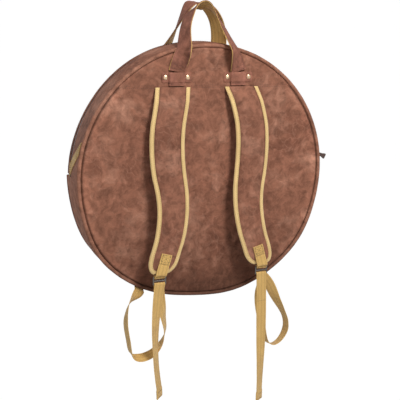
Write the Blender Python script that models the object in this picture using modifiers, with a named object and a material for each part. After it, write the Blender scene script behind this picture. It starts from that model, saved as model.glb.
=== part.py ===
"""A round, padded cymbal bag for 22-inch cymbals, hanging by its two carrying handles.

The bag's own axis is Y: the back panel with the shoulder straps faces -Y, the lid and the
pocket face +Y, and +Z is up. The origin is the grip, where the two handles meet above the bag.
"""

import math

import bmesh
import bpy
from mathutils import Matrix, Vector

mm = 0.001
degree = math.pi / 180

# The round body
bag_radius = 295 * mm
bag_depth = 108 * mm
leather = 1.6 * mm
foam = 7 * mm
lining = 1 * mm
seat_gap = 0.3 * mm
weld = 0.001 * mm
facet_angle = 6 * degree
full_turn = 360 * degree
half_turn = full_turn / 2
quarter_turn = full_turn / 4
panel_roll = 7 * mm
panel_roll_drop = 4 * mm
piping_radius = 2.4 * mm
piping_sides = 6
divider_thickness = 5 * mm
divider_spacing = 28 * mm
divider_below_top = 175 * mm

# The yoke, above the seam that holds the top of both shoulder pads
yoke_height = 92 * mm

# The main zip, round the upper half of the gusset
zip_place = 20 * mm
zip_slot = 24 * mm
zip_tape_hidden = 7 * mm
tape_thickness = 1.4 * mm
zip_middle_gap = 1.6 * mm
teeth_per_facet = 3
tooth_length = 3.2 * mm
tooth_height = 2.4 * mm
tooth_dip = 0.8 * mm
slider_length = 16 * mm
slider_width = 12 * mm
slider_plate = 1.5 * mm
slider_play = 0.9 * mm
slider_post = 1 * mm
slider_rest_angle = 8 * degree
bail_height = 5 * mm
bail_wire = 1.3 * mm
bail_width = 2.4 * mm
bail_half_span_share = 0.36
pull_cord = 2 * mm
pull_loop_length = 45 * mm
pull_loop_width = 7 * mm
pull_bend_share = 0.36
pull_grip_length = 21 * mm
pull_grip_width = 14 * mm
pull_grip_neck = 8 * mm
pull_grip_thickness = 5 * mm
pull_droop = 24 * degree

# The webbing tabs sewn across the gusset at both ends of the zip
webbing_width = 25 * mm
webbing = 1.4 * mm
end_tab_drop = 68 * mm
end_tab_left_top = 76 * mm
end_tab_right_top = 48 * mm
end_tab_reach = 30 * mm

# The carrying handles and what holds them
handle_spacing = 146 * mm
handle_width = 36 * mm
handle_leather = 1.8 * mm
handle_webbing = 1.3 * mm
handle_rise = 150 * mm
back_handle_apex_offset = 20 * mm
front_handle_apex_offset = 32 * mm
handle_steps = 16
back_handle_turn = 17 * degree
front_handle_turn = 20 * degree
tab_width = 68 * mm
tab_height = 22 * mm
tab_below_top = 83 * mm
rivet_spacing = 51 * mm
rivet_radius = 5 * mm
rivet_dome = 2.2 * mm
rivet_shank = 1.8 * mm

# The shoulder pads
pad_spacing = 163 * mm
pad_length = 406.5 * mm
pad_width = 80 * mm
pad_foam = 8 * mm
pad_underside = 1.4 * mm
pad_bow = 42 * mm
pad_sweep = 36 * mm
pad_end_width = 28 * mm
pad_end_round = 34 * mm
pad_skived_length = 32 * mm
pad_skived_share = 0.27
binding = 1 * mm
binding_overlap = 10.5 * mm

# The buckles, their anchors, the tails and the lower loops of the straps
anchor_patch = 46 * mm
anchor_tilt = 16 * degree
buckle_spacing = 250 * mm
buckle_width = 31 * mm
buckle_bar = 3 * mm
buckle_pitch = 8 * mm
buckle_thickness = 2.6 * mm
buckle_drop = 8 * mm
left_tail_length = 279 * mm
right_tail_length = 327 * mm
tail_hem = 24 * mm
left_loop_spread = 67 * mm
left_loop_drop = 182 * mm
right_loop_spread = 81 * mm
right_loop_drop = 197 * mm
loop_anchor_spacing = 304 * mm
loop_sewn_length = 24 * mm

# The half-moon pocket on the front
pocket_margin = 59 * mm
pocket_top = -40 * mm
pocket_depth = 18 * mm
pocket_roll = 6 * mm
pocket_zip_ridge = 6 * mm
pocket_slider_length = 12 * mm
pocket_slider_width = 9 * mm
pocket_slider_height = 3.5 * mm
pocket_pull_length = 30 * mm
pocket_pull_width = 8 * mm
pocket_pull_thickness = 1.6 * mm

# Outline of a shoulder pad, from top to bottom: share of its length, then shares of the sweep
# to the outside, of the bow away from the back, and of the half width
pad_outline_shares = (
    (0.0, 0.0, 0.0, 1.0),
    (0.06, 0.17, 0.20, 1.0),
    (0.13, 0.35, 0.34, 1.0),
    (0.20, 0.50, 0.41, 1.0),
    (0.28, 0.57, 0.45, 1.0),
    (0.38, 0.55, 0.49, 1.0),
    (0.47, 0.45, 0.55, 0.99),
    (0.56, 0.30, 0.66, 0.95),
    (0.65, 0.26, 0.77, 0.915),
    (0.74, 0.36, 0.87, 0.90),
    (0.82, 0.55, 0.94, 0.89),
    (0.90, 0.84, 0.98, 0.88),
    (1.0, 1.12, 1.0, 0.86),
)

# The lower loops from the buckle down and back up to the seam: shares of the loop's spread to
# the outside, of the way to the bag and of the drop, and the webbing's turn and tilt in degrees
left_loop_shares = (
    (-0.04, 0.12, 0.15, 95, 0),
    (-0.14, 0.18, 0.33, 115, 0),
    (-0.23, 0.24, 0.50, 140, 0),
    (-0.29, 0.28, 0.66, 152, 0),
    (-0.16, 0.32, 0.82, 168, -14),
    (0.15, 0.38, 0.95, 178, -25),
    (0.54, 0.46, 1.00, 184, -24),
    (0.84, 0.55, 0.95, 188, -14),
    (0.94, 0.63, 0.76, 189, 0),
    (1.00, 0.73, 0.53, 186, 0),
    (0.85, 0.84, 0.31, 158, 8),
)
right_loop_shares = (
    (0.30, 0.12, 0.15, 70, 0),
    (0.57, 0.15, 0.36, 40, 0),
    (0.81, 0.21, 0.53, 16, 0),
    (0.95, 0.27, 0.65, 8, 0),
    (1.00, 0.34, 0.77, 4, 0),
    (0.94, 0.42, 0.88, 0, -6),
    (0.79, 0.50, 0.97, -4, -10),
    (0.61, 0.58, 1.00, -4, -12),
    (0.45, 0.65, 0.94, 2, -12),
    (0.34, 0.73, 0.75, 14, -6),
    (0.27, 0.82, 0.53, 40, 0),
    (0.28, 0.89, 0.33, 66, -10),
)

# One leg of a handle, as a cubic curve from its root to the grip: shares of the half spacing
# and of the height from the root to the grip
handle_leg_shares = ((1.0, 0.0), (0.76, 0.42), (0.50, 1.05), (0.0, 1.013))
handle_straight_share = 0.26
handle_early_twist_share = 0.6

yoke_seam = bag_radius - yoke_height
divider_top = bag_radius - divider_below_top
pocket_radius = bag_radius - pocket_margin
tab_bottom = bag_radius - tab_below_top
strap_end_bottom = yoke_seam + 5 * seat_gap
pad_top = yoke_seam - 5 * seat_gap
pad_bottom = pad_top - pad_length
face_y = bag_depth / 2
seam_y = face_y - piping_radius - seat_gap / 2
gusset_edge = seam_y - piping_radius - seat_gap
tape_outer = bag_radius - leather - seat_gap
tooth_middle = tape_outer - tape_thickness / 2
zip_back_edge = zip_place - zip_slot / 2
zip_lid_edge = zip_place + zip_slot / 2
padding_outer = tape_outer
padding_inner = padding_outer - foam - lining
panel_radius = bag_radius - leather - piping_radius + seat_gap
pad_half_thickness = (leather + pad_foam + pad_underside) / 2 + seat_gap
binding_half_thickness = pad_half_thickness + seat_gap + binding
handle_thickness = handle_leather + handle_webbing + seat_gap
handle_root = tab_bottom + tab_height + seat_gap + handle_thickness / 2
handle_root_y = face_y + seat_gap + handle_thickness / 2
grip_height = handle_root + handle_rise

empties = {}
places = {}
finishes = {}


def clear_scene():
    for old in list(bpy.data.objects):
        bpy.data.objects.remove(old, do_unlink=True)


def make_collections():
    parts = bpy.data.collections.new("cymbal_bag")
    cutters = bpy.data.collections.new("cutters")
    for collection in (parts, cutters):
        bpy.context.scene.collection.children.link(collection)
    cutters.hide_render = True
    return parts, cutters


def finish(name, colour, roughness, metallic=0.0):
    """A material with one Principled BSDF, kept by its name."""
    material = bpy.data.materials.new(name)
    material.use_nodes = True
    shader = material.node_tree.nodes["Principled BSDF"]
    shader.inputs["Base Color"].default_value = (*colour, 1.0)
    shader.inputs["Roughness"].default_value = roughness
    shader.inputs["Metallic"].default_value = metallic
    finishes[name] = material


def make_finishes():
    finish("brown_leather", (0.20, 0.085, 0.055), 0.6)
    finish("handle_leather", (0.19, 0.08, 0.05), 0.6)
    finish("tan_webbing", (0.42, 0.28, 0.10), 0.85)
    finish("tan_binding", (0.45, 0.30, 0.11), 0.8)
    finish("dark_lining", (0.03, 0.027, 0.025), 0.95)
    finish("foam_core", (0.12, 0.12, 0.12), 0.95)
    finish("copper_rivet", (0.75, 0.45, 0.25), 0.3, 1.0)
    finish("dark_steel", (0.25, 0.22, 0.2), 0.35, 1.0)
    finish("zip_tape", (0.07, 0.035, 0.025), 0.8)
    finish("dark_pull", (0.05, 0.025, 0.02), 0.5)


def add_empty(name, place, parent=None):
    """An empty on a joint's axis; places are measured from the middle of the round body."""
    empty = bpy.data.objects.new(name, None)
    parts_collection.objects.link(empty)
    places[name] = Vector(place)
    empties[name] = empty
    if parent:
        empty.parent = empties[parent]
        empty.location = places[name] - places[parent]
    else:
        empty.location = (0, 0, -grip_height)
    return empty


def make_joint_empties():
    add_empty("bag_centre", (0, 0, 0))
    add_empty("lid_axis", (0, face_y, 0), "bag_centre")
    add_empty("back_handle_axis", (0, -handle_root_y, handle_root), "bag_centre")
    add_empty("front_handle_axis", (0, handle_root_y, handle_root), "lid_axis")
    add_empty("zip_slider_axis", (0, zip_place, 0), "bag_centre")
    add_empty("zip_pull_axis", pull_hinge(), "zip_slider_axis")
    add_empty("pocket_slider_axis", pocket_slider_place(), "bag_centre")
    add_empty("pocket_pull_axis", pocket_pull_place(), "pocket_slider_axis")
    for side, sign in (("left", -1), ("right", 1)):
        add_empty(side + "_pad_axis", (0, pad_plane(0.0), pad_top), "bag_centre")
        add_empty(side + "_buckle_axis", buckle_bar_place(sign, 0), side + "_pad_axis")
        add_empty(side + "_tail_axis", buckle_bar_place(sign, 2), side + "_buckle_axis")


def add_object(name, mesh, finish_name, joint):
    obj = bpy.data.objects.new(name, mesh)
    parts_collection.objects.link(obj)
    obj.parent = empties[joint]
    obj.location = -places[joint]
    mesh.materials.append(finishes[finish_name])
    mesh.shade_smooth()
    mesh.set_sharp_from_angle(angle=30 * degree)
    return obj


def mesh_from(name, bm):
    """Turns the faces outward and hands the shape over as a mesh."""
    bmesh.ops.recalc_face_normals(bm, faces=bm.faces)
    if bm.calc_volume(signed=True) < 0:
        bmesh.ops.reverse_faces(bm, faces=bm.faces)
    mesh = bpy.data.meshes.new(name)
    bm.to_mesh(mesh)
    bm.free()
    return mesh


def add_solid(name, bm, finish_name, joint="bag_centre"):
    return add_object(name, mesh_from(name, bm), finish_name, joint)


def add_tool(name, bm, parent_name="bag_centre"):
    """A hidden shape for a Boolean, in the same frame as the pieces."""
    tool = bpy.data.objects.new(name, mesh_from(name, bm))
    cutters_collection.objects.link(tool)
    tool.parent = empties[parent_name]
    tool.location = -places[parent_name]
    tool.hide_render = True
    tool.display_type = "WIRE"
    return tool


def boolean(obj, tool, operation):
    modifier = obj.modifiers.new(operation.lower(), "BOOLEAN")
    modifier.operation = operation
    modifier.solver = "EXACT"
    modifier.object = tool


def loft(rings, closed=False, section_closed=True):
    """Joins sections with the same number of points, and caps the two ends of an open run."""
    bm = bmesh.new()
    rows = [[bm.verts.new(point) for point in ring] for ring in rings]
    count = len(rows[0])
    pairs = list(zip(rows, rows[1:]))
    if closed:
        pairs.append((rows[-1], rows[0]))
    for first, second in pairs:
        for index in range(count if section_closed else count - 1):
            following = (index + 1) % count
            bm.faces.new((first[index], first[following], second[following], second[index]))
    if not closed:
        bm.faces.new(rows[0])
        bm.faces.new(reversed(rows[-1]))
    return bm


def arc_angles(start, end):
    """Angles on the common grid of facets, with the two ends of the arc."""
    first = math.floor(start / facet_angle + 1.001)
    last = math.ceil(end / facet_angle - 1.001)
    return [start] + [step * facet_angle for step in range(first, last + 1)] + [end]


def turned(profile, start=0.0, end=None):
    """A closed profile of (radius, y) points carried round the bag's axis, all round or in part."""
    full = end is None
    angles = arc_angles(start, full_turn if full else end)
    if full:
        angles.pop()
    rings = [
        [Vector((radius * math.cos(angle), y, radius * math.sin(angle))) for radius, y in profile]
        for angle in angles
    ]
    return loft(rings, closed=full)


def turned_disc(profile):
    """A disc from a profile whose first and last points lie on the bag's axis."""
    angles = arc_angles(0.0, full_turn)[:-1]
    bm = bmesh.new()
    poles = [bm.verts.new((0, profile[0][1], 0)), bm.verts.new((0, profile[-1][1], 0))]
    rows = [
        [bm.verts.new((r * math.cos(a), y, r * math.sin(a))) for r, y in profile[1:-1]]
        for a in angles
    ]
    for first, second in zip(rows, rows[1:] + rows[:1]):
        bm.faces.new((poles[0], first[0], second[0]))
        bm.faces.new((poles[1], second[-1], first[-1]))
        for index in range(len(first) - 1):
            bm.faces.new((first[index], first[index + 1], second[index + 1], second[index]))
    return bm


def box(low, high):
    bm = bmesh.new()
    bmesh.ops.create_cube(bm, size=1)
    low = Vector(low)
    high = Vector(high)
    bmesh.ops.scale(bm, vec=high - low, verts=bm.verts)
    bmesh.ops.translate(bm, vec=(low + high) / 2, verts=bm.verts)
    return bm


def trim(bm, place, direction):
    """Cuts off what lies past a plane, and closes the cut."""
    everything = bm.verts[:] + bm.edges[:] + bm.faces[:]
    bmesh.ops.bisect_plane(
        bm, geom=everything, plane_co=place, plane_no=direction, clear_outer=True
    )
    rim = [edge for edge in bm.edges if edge.is_boundary]
    bmesh.ops.holes_fill(bm, edges=rim, sides=0)
    return bm


def ring_profile(inner, outer, low, high):
    return [(inner, low), (outer, low), (outer, high), (inner, high)]


def mirrored(bm, axis):
    scale = [1, 1, 1]
    scale[axis] = -1
    bmesh.ops.scale(bm, vec=scale, verts=bm.verts)
    return bm


def panel_shape():
    """The leather of a round panel, flat, with its edge rolled down to the seam; it faces +Y."""
    flat = panel_radius - panel_roll
    inner = face_y - leather
    profile = [
        (0, face_y),
        (flat, face_y),
        (panel_radius - panel_roll / 3, face_y - panel_roll_drop / 3),
        (panel_radius, face_y - panel_roll_drop),
        (panel_radius - leather, face_y - panel_roll_drop - seat_gap),
        (flat - leather / 2, inner),
        (0, inner),
    ]
    return turned_disc(profile)


def layer_shape(outer_y, thickness):
    """A plain round layer behind a panel; it faces +Y."""
    radius = panel_radius - panel_roll - seat_gap
    profile = [(0, outer_y), (radius, outer_y), (radius, outer_y - thickness), (0, outer_y - thickness)]
    return turned_disc(profile)


def upper(bm, level=0.0):
    return trim(bm, (0, 0, level + seat_gap), (0, 0, -1))


def lower(bm, level=0.0):
    return trim(bm, (0, 0, level - seat_gap), (0, 0, 1))


def piping_profile():
    middle = bag_radius - leather / 2
    turn = full_turn / piping_sides
    return [
        (middle + piping_radius * math.cos(turn * k), seam_y + piping_radius * math.sin(turn * k))
        for k in range(piping_sides)
    ]


def make_back():
    yoke_gap = seat_gap / 2
    back = trim(panel_shape(), (0, 0, yoke_seam - yoke_gap), (0, 0, 1))
    add_solid("back_panel", mirrored(back, 1), "brown_leather")
    yoke = trim(panel_shape(), (0, 0, yoke_seam + yoke_gap), (0, 0, -1))
    add_solid("back_yoke", mirrored(yoke, 1), "brown_leather")
    foam_y = face_y - leather - seat_gap
    add_solid("back_foam", mirrored(layer_shape(foam_y, foam), 1), "foam_core")
    lining_y = foam_y - foam - seat_gap
    add_solid("back_lining", mirrored(layer_shape(lining_y, lining), 1), "dark_lining")
    add_solid("back_piping", mirrored(turned(piping_profile()), 1), "brown_leather")


def make_gusset_layer(name, inner, outer, cut_y, finish_name):
    """A band all round the bag, cut away over the upper half where the zip and the lid are."""
    band = turned(ring_profile(inner, outer, -gusset_edge, gusset_edge))
    obj = add_solid(name, band, finish_name)
    reach = 2 * bag_radius
    cut = add_tool(name + "_cut", box((-reach, cut_y, 0), (reach, face_y, reach)))
    boolean(obj, cut, "DIFFERENCE")


def make_gusset():
    make_gusset_layer("gusset", bag_radius - leather, bag_radius, zip_back_edge, "brown_leather")
    under_tape = zip_back_edge - zip_tape_hidden - seat_gap
    make_gusset_layer("gusset_padding", padding_inner, padding_outer, under_tape, "dark_lining")


def make_front():
    """The fixed lower half of the front and the lid that is its upper half."""
    foam_y = face_y - leather - seat_gap
    lining_y = foam_y - foam - seat_gap
    for part, joint, half in (("front", "bag_centre", lower), ("lid", "lid_axis", upper)):
        add_solid(part + "_panel", half(panel_shape()), "brown_leather", joint)
        add_solid(part + "_foam", half(layer_shape(foam_y, foam)), "foam_core", joint)
        add_solid(part + "_lining", half(layer_shape(lining_y, lining)), "dark_lining", joint)
    hinge_angle = 2 * seat_gap / bag_radius
    above = (hinge_angle, half_turn - hinge_angle)
    below = (hinge_angle - half_turn, -hinge_angle)
    add_solid("front_piping", turned(piping_profile(), *below), "brown_leather")
    add_solid("lid_piping", turned(piping_profile(), *above), "brown_leather", "lid_axis")
    strip = ring_profile(bag_radius - leather, bag_radius, zip_lid_edge, gusset_edge)
    add_solid("lid_gusset", turned(strip, *above), "brown_leather", "lid_axis")


def make_dividers():
    """Two padded dividers, sewn round the lower part of the gusset and straight on top."""
    radius = padding_inner - seat_gap
    for name, place in (("rear_divider", -divider_spacing / 2), ("front_divider", divider_spacing / 2)):
        half = divider_thickness / 2
        profile = [(0, place + half), (radius, place + half), (radius, place - half), (0, place - half)]
        shape = trim(turned_disc(profile), (0, 0, divider_top), (0, 0, 1))
        add_solid(name, shape, "dark_lining")


def on_facet(angle):
    """How far the flat facets of the round bands lie inside their circle at this angle, as a share."""
    half = facet_angle / 2
    return math.cos(half) / math.cos(angle % facet_angle - half)


def zip_half_ring(angle, edge, hidden_end, top, reach):
    """Section of one side of the zip: flat tape, with the row of teeth along its inner edge."""
    direction = Vector((math.cos(angle), 0, math.sin(angle))) * on_facet(angle)
    inner = tape_outer - tape_thickness
    towards = 1 if hidden_end > edge else -1
    root = edge + towards * tooth_length
    nose = edge + towards * reach
    points = (
        (hidden_end, inner),
        (nose, inner - tooth_height / 2 + tape_thickness / 2),
        (nose, top),
        (root, top),
        (root, tape_outer),
        (hidden_end, tape_outer),
    )
    return [direction * radius + Vector((0, y, 0)) for y, radius in points]


def make_zip_half(name, edge, hidden_end, joint):
    """A tape with its moulded teeth, over the upper half of the gusset."""
    inset = 2 * seat_gap / bag_radius
    half_pitch = facet_angle / (2 * teeth_per_facet)
    count = round(half_turn / half_pitch)
    crest = tooth_middle + tooth_height / 2
    hollow = tape_outer + seat_gap / 3
    rings = []
    for index in range(count + 1):
        angle = min(max(index * half_pitch, inset), half_turn - inset)
        is_tooth = index % 2 == 1
        top = crest if is_tooth else hollow
        rings.append(zip_half_ring(angle, edge, hidden_end, top, 0.0 if is_tooth else tooth_dip))
    add_solid(name, loft(rings), "zip_tape", joint)


def make_zip():
    half_gap = zip_middle_gap / 2
    make_zip_half("zip_body_side", zip_place - half_gap, zip_back_edge - zip_tape_hidden, "bag_centre")
    make_zip_half("zip_lid_side", zip_place + half_gap, zip_lid_edge + zip_tape_hidden, "lid_axis")


def at_slider(bm):
    """Turns a shape made at the right end of the bag's width up to where the slider rests."""
    turn = Matrix.Rotation(-slider_rest_angle, 4, "Y")
    bmesh.ops.transform(bm, matrix=turn, verts=bm.verts)
    return bm


def slider_top():
    return tooth_middle + tooth_height / 2 + slider_play + slider_plate


def pull_hinge_radius():
    return slider_top() + bail_height - 1.5 * bail_wire - pull_cord / 2 - seat_gap


def pull_hinge():
    radius = pull_hinge_radius()
    return (radius * math.cos(slider_rest_angle), zip_place, radius * math.sin(slider_rest_angle))


def make_slider():
    """Two plates joined by a post between the rows of teeth, and the bail over the top plate."""
    top = slider_top()
    bottom = tooth_middle - tooth_height / 2 - slider_play - slider_plate
    half_width = slider_width / 2
    half_post = slider_post / 2
    section = (
        (bottom, -half_width),
        (bottom, half_width),
        (bottom + slider_plate, half_width),
        (bottom + slider_plate, half_post),
        (top - slider_plate, half_post),
        (top - slider_plate, half_width),
        (top, half_width),
        (top, -half_width),
        (top - slider_plate, -half_width),
        (top - slider_plate, -half_post),
        (bottom + slider_plate, -half_post),
        (bottom + slider_plate, -half_width),
    )
    ends = (-slider_length / 2, slider_length / 2)
    rings = [[Vector((r, zip_place + y, along)) for r, y in section] for along in ends]
    slider = add_solid("zip_slider", at_slider(loft(rings)), "dark_steel", "zip_slider_axis")
    half_span = slider_length * bail_half_span_share
    bail_steps = 8
    path = []
    for step in range(bail_steps + 1):
        turn = half_turn * step / bail_steps
        rise = bail_height * math.sin(turn) - bail_wire
        path.append(Vector((top + rise, zip_place, -half_span * math.cos(turn))))
    sides = [Vector((0, 1, 0))] * len(path)
    bail = ribbon(path, path_normals(path, sides), bail_width, -bail_wire / 2, bail_wire / 2)
    boolean(slider, add_tool("zip_slider_bail", at_slider(bail), "zip_slider_axis"), "UNION")


def curve_mesh(name, points, radius, resolution=2):
    """A round cord along a smooth run of points, as a closed mesh."""
    data = bpy.data.curves.new(name, "CURVE")
    data.dimensions = "3D"
    data.bevel_depth = radius
    data.bevel_resolution = resolution
    data.use_fill_caps = True
    spline = data.splines.new("POLY")
    spline.points.add(len(points) - 1)
    for target, point in zip(spline.points, points):
        target.co = (*point, 1)
    guide = bpy.data.objects.new(name, data)
    bpy.context.scene.collection.objects.link(guide)
    evaluated = guide.evaluated_get(bpy.context.evaluated_depsgraph_get())
    mesh = bpy.data.meshes.new_from_object(evaluated)
    bpy.data.objects.remove(guide, do_unlink=True)
    bm = bmesh.new()
    bm.from_mesh(mesh)
    bpy.data.meshes.remove(mesh)
    bmesh.ops.remove_doubles(bm, verts=bm.verts, dist=weld)
    return bm


def pull_directions():
    """Unit vectors along the pull and across it, in the plane that it swings in."""
    along = Vector((math.cos(pull_droop), 0, -math.sin(pull_droop)))
    across = Vector((math.sin(pull_droop), 0, math.cos(pull_droop)))
    return along, across


def pull_strand(sign):
    """One strand of the cord loop, turning a quarter on its way from the bail to the grip."""
    along, across = pull_directions()
    hinge = Vector(pull_hinge())
    steps = 7
    strand = []
    for step in range(1, steps + 1):
        share = step / steps
        turn = quarter_turn * share
        spread = pull_loop_width / 2
        offset = Vector((0, 1, 0)) * math.cos(turn) + across * math.sin(turn)
        reach = pull_cord + (pull_loop_length - pull_cord) * share
        strand.append(hinge + along * reach + offset * spread * sign)
    return strand


def make_pull():
    """A cord loop through the bail, with a flared grip moulded on its end."""
    along, across = pull_directions()
    hinge = Vector(pull_hinge())
    bend = [hinge + Vector((0, side * pull_loop_width * pull_bend_share, 0)) for side in (-1, 1)]
    points = list(reversed(pull_strand(-1))) + bend + pull_strand(1)
    pull = add_solid("zip_pull", curve_mesh("pull_loop", points, pull_cord / 2, 1), "dark_pull", "zip_pull_axis")
    start = pull_loop_length - 2 * pull_cord
    outline_shares = ((0.0, 0.0), (0.12, 0.3), (0.45, 0.25), (0.85, 1.0), (1.0, 0.85))
    rings = []
    for share, flare in outline_shares:
        half_width = (pull_grip_neck + (pull_grip_width - pull_grip_neck) * flare) / 2
        half_thick = pull_grip_thickness / 2 * (1 - 0.2 * flare)
        middle = hinge + along * (start + pull_grip_length * share)
        corner_shares = ((1, 0.6), (0.8, 1), (-0.8, 1), (-1, 0.6), (-1, -0.6), (-0.8, -1), (0.8, -1), (1, -0.6))
        rings.append(
            [
                middle + across * (half_width * a) + Vector((0, half_thick * b, 0))
                for a, b in corner_shares
            ]
        )
    boolean(pull, add_tool("zip_pull_grip", loft(rings), "zip_pull_axis"), "UNION")


def path_normals(points, sides):
    """Tangent, side and normal at each point of a flat strap; the normal is side x tangent."""
    frames = []
    for index, point in enumerate(points):
        before = points[max(index - 1, 0)]
        after = points[min(index + 1, len(points) - 1)]
        tangent = (after - before).normalized()
        side = sides[index] - tangent * sides[index].dot(tangent)
        side.normalize()
        frames.append((side, side.cross(tangent).normalized()))
    return frames


def ribbon(points, frames, width, low, high):
    """A flat strap along a path: low and high are its two faces, measured along the normal."""
    count = len(points)
    lows = low if isinstance(low, list) else [low] * count
    highs = high if isinstance(high, list) else [high] * count
    bm = bmesh.new()
    rows = []
    for point, (side, normal), under, over in zip(points, frames, lows, highs):
        half = side * (width / 2)
        left, right = point - half, point + half
        places_in_row = (left + normal * under, right + normal * under, right + normal * over, left + normal * over)
        rows.append([bm.verts.new(place) for place in places_in_row])
    for first, second in zip(rows, rows[1:]):
        add_strap_faces(bm, first, second)
    bm.faces.new(rows[0])
    bm.faces.new(reversed(rows[-1]))
    return bm


def add_strap_faces(bm, first, second):
    """Both broad faces are split along the same diagonal, so that twisted layers never cross."""
    bm.faces.new((first[0], first[1], second[1]))
    bm.faces.new((first[0], second[1], second[0]))
    bm.faces.new((first[2], first[3], second[2]))
    bm.faces.new((first[3], second[3], second[2]))
    bm.faces.new((first[1], first[2], second[2], second[1]))
    bm.faces.new((first[3], first[0], second[0], second[3]))


def make_end_tabs():
    """Webbing tabs from the back seam down across the gusset to the ends of the zip."""
    radius = bag_radius + seat_gap + webbing / 2
    start_y = seat_gap - gusset_edge
    cut_width = webbing_width * math.hypot(end_tab_drop, end_tab_reach - start_y) / (end_tab_reach - start_y)
    steps = 8
    for name, sign, top in (("left_end_tab", -1, end_tab_left_top), ("right_end_tab", 1, end_tab_right_top)):
        points = []
        frames = []
        for step in range(steps + 1):
            share = step / steps
            height = top - end_tab_drop * share
            across = sign * math.sqrt(radius ** 2 - height ** 2)
            points.append(Vector((across, start_y + (end_tab_reach - start_y) * share, height)))
            outward = Vector((across, 0, height)).normalized()
            frames.append((Vector((outward.z, 0, -outward.x)), outward))
        add_solid(name, ribbon(points, frames, cut_width, -webbing / 2, webbing / 2), "tan_webbing")


def cubic(shares, t):
    a, b, c, d = shares
    return a * (1 - t) ** 3 + 3 * b * t * (1 - t) ** 2 + 3 * c * t ** 2 * (1 - t) + d * t ** 3


def handle_path(extra_turn, apex_offset):
    """A back handle's middle line and width directions, from its left root to its right root."""
    rise = grip_height - handle_root
    points = []
    sides = []
    for step in range(2 * handle_steps + 1):
        leg = step / handle_steps
        t = leg if leg <= 1 else 2 - leg
        sign = -1 if leg <= 1 else 1
        x = sign * handle_spacing / 2 * cubic([share[0] for share in handle_leg_shares], t)
        z = handle_root + rise * cubic([share[1] for share in handle_leg_shares], t)
        upright = 1 - max(t - handle_straight_share, 0) / (1 - handle_straight_share)
        lean = 1 - upright ** 3
        twist = quarter_turn * t * (1 + handle_early_twist_share * (1 - t))
        twist -= sign * extra_turn * math.sin(half_turn * t)
        stand_off = handle_width / 2 * math.sin(twist)
        y = -(handle_root_y + stand_off) * (1 - lean) - apex_offset * lean
        turn = twist if leg <= 1 else half_turn - twist
        points.append(Vector((x, y, z)))
        sides.append(Vector((math.cos(turn), -math.sin(turn), 0)))
    return points, sides


def handle_roots(points, frames):
    """Adds the short rolled hems that turn on the hinge line at both roots."""
    half = handle_thickness / 2
    heights = (-half, -half / 2, 2.4 * half)
    left = [points[0] + Vector((0, 0, height)) for height in heights]
    right = [points[-1] + Vector((0, 0, height)) for height in reversed(heights)]
    outward = Vector((0, -1, 0))
    upright = [(Vector((1, 0, 0)), outward)] * 3
    hanging = [(Vector((-1, 0, 0)), outward)] * 3
    return left + points[1:-1] + right, upright + frames[1:-1] + hanging


def make_handle(name, joint, front):
    if front:
        points, sides = handle_path(front_handle_turn, front_handle_apex_offset)
    else:
        points, sides = handle_path(back_handle_turn, back_handle_apex_offset)
    frames = path_normals(points, sides)
    leather_points, leather_frames = handle_roots(points, frames)
    half = handle_thickness / 2
    count = len(leather_points)
    low = [half - handle_leather] * count
    high = [half] * count
    for end in (0, -1):
        low[end] = -half / 2
        high[end] = half / 2
    for near_end in (1, 2, -2, -3):
        low[near_end] = -half
    leather_strap = ribbon(leather_points, leather_frames, handle_width, low, high)
    inner = ribbon(points[1:-1], frames[1:-1], handle_width, -half, -half + handle_webbing)
    if front:
        mirrored(leather_strap, 1)
        mirrored(inner, 1)
    add_solid(name + "_leather", leather_strap, "handle_leather", joint)
    add_solid(name + "_webbing", inner, "tan_webbing", joint)


def tab_shape(x):
    """A leather tab over the sewn end of a handle strap, stepped down to the panel at both ends."""
    base = face_y + seat_gap
    raised = base + handle_thickness + seat_gap
    step_in = handle_width / 2 + seat_gap
    step_out = step_in + leather
    half = tab_width / 2
    outer = (
        (-half, base + leather),
        (-step_out, base + leather),
        (-step_in, raised + leather),
        (step_in, raised + leather),
        (step_out, base + leather),
        (half, base + leather),
    )
    inner = ((half, base), (step_out - leather, base), (-step_out + leather, base), (-half, base))
    section = outer + inner
    levels = (tab_bottom, tab_bottom + tab_height)
    return loft([[Vector((x + a, y, z)) for a, y in section] for z in levels])


def make_tab(name, x, joint, front):
    side = 1 if front else -1
    shape = tab_shape(x)
    half = handle_width / 2
    low = (x - half, face_y + seat_gap, strap_end_bottom)
    strap_end = box(low, (x + half, face_y + seat_gap + handle_thickness, tab_bottom + leather))
    holes = bmesh.new()
    for sign in (-1, 1):
        add_hole(holes, x + sign * rivet_spacing / 2)
    if not front:
        for bm in (shape, strap_end, holes):
            mirrored(bm, 1)
    tab = add_solid(name, shape, "handle_leather", joint)
    boolean(tab, add_tool(name + "_strap_end", strap_end, joint), "UNION")
    boolean(tab, add_tool(name + "_holes", holes, joint), "DIFFERENCE")
    outward = math.copysign(rivet_spacing / 2, x)
    make_rivet(name.replace("tab", "outer_rivet"), x + outward, side, joint)
    make_rivet(name.replace("tab", "inner_rivet"), x - outward, side, joint)


def add_hole(bm, x):
    made = bmesh.ops.create_cone(
        bm,
        cap_ends=True,
        segments=12,
        radius1=rivet_shank + seat_gap,
        radius2=rivet_shank + seat_gap,
        depth=8 * leather,
    )
    stand = Matrix.Translation((x, face_y, rivet_height())) @ Matrix.Rotation(quarter_turn, 4, "X")
    bmesh.ops.transform(bm, matrix=stand, verts=made["verts"])


def rivet_height():
    return tab_bottom + tab_height / 2


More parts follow.
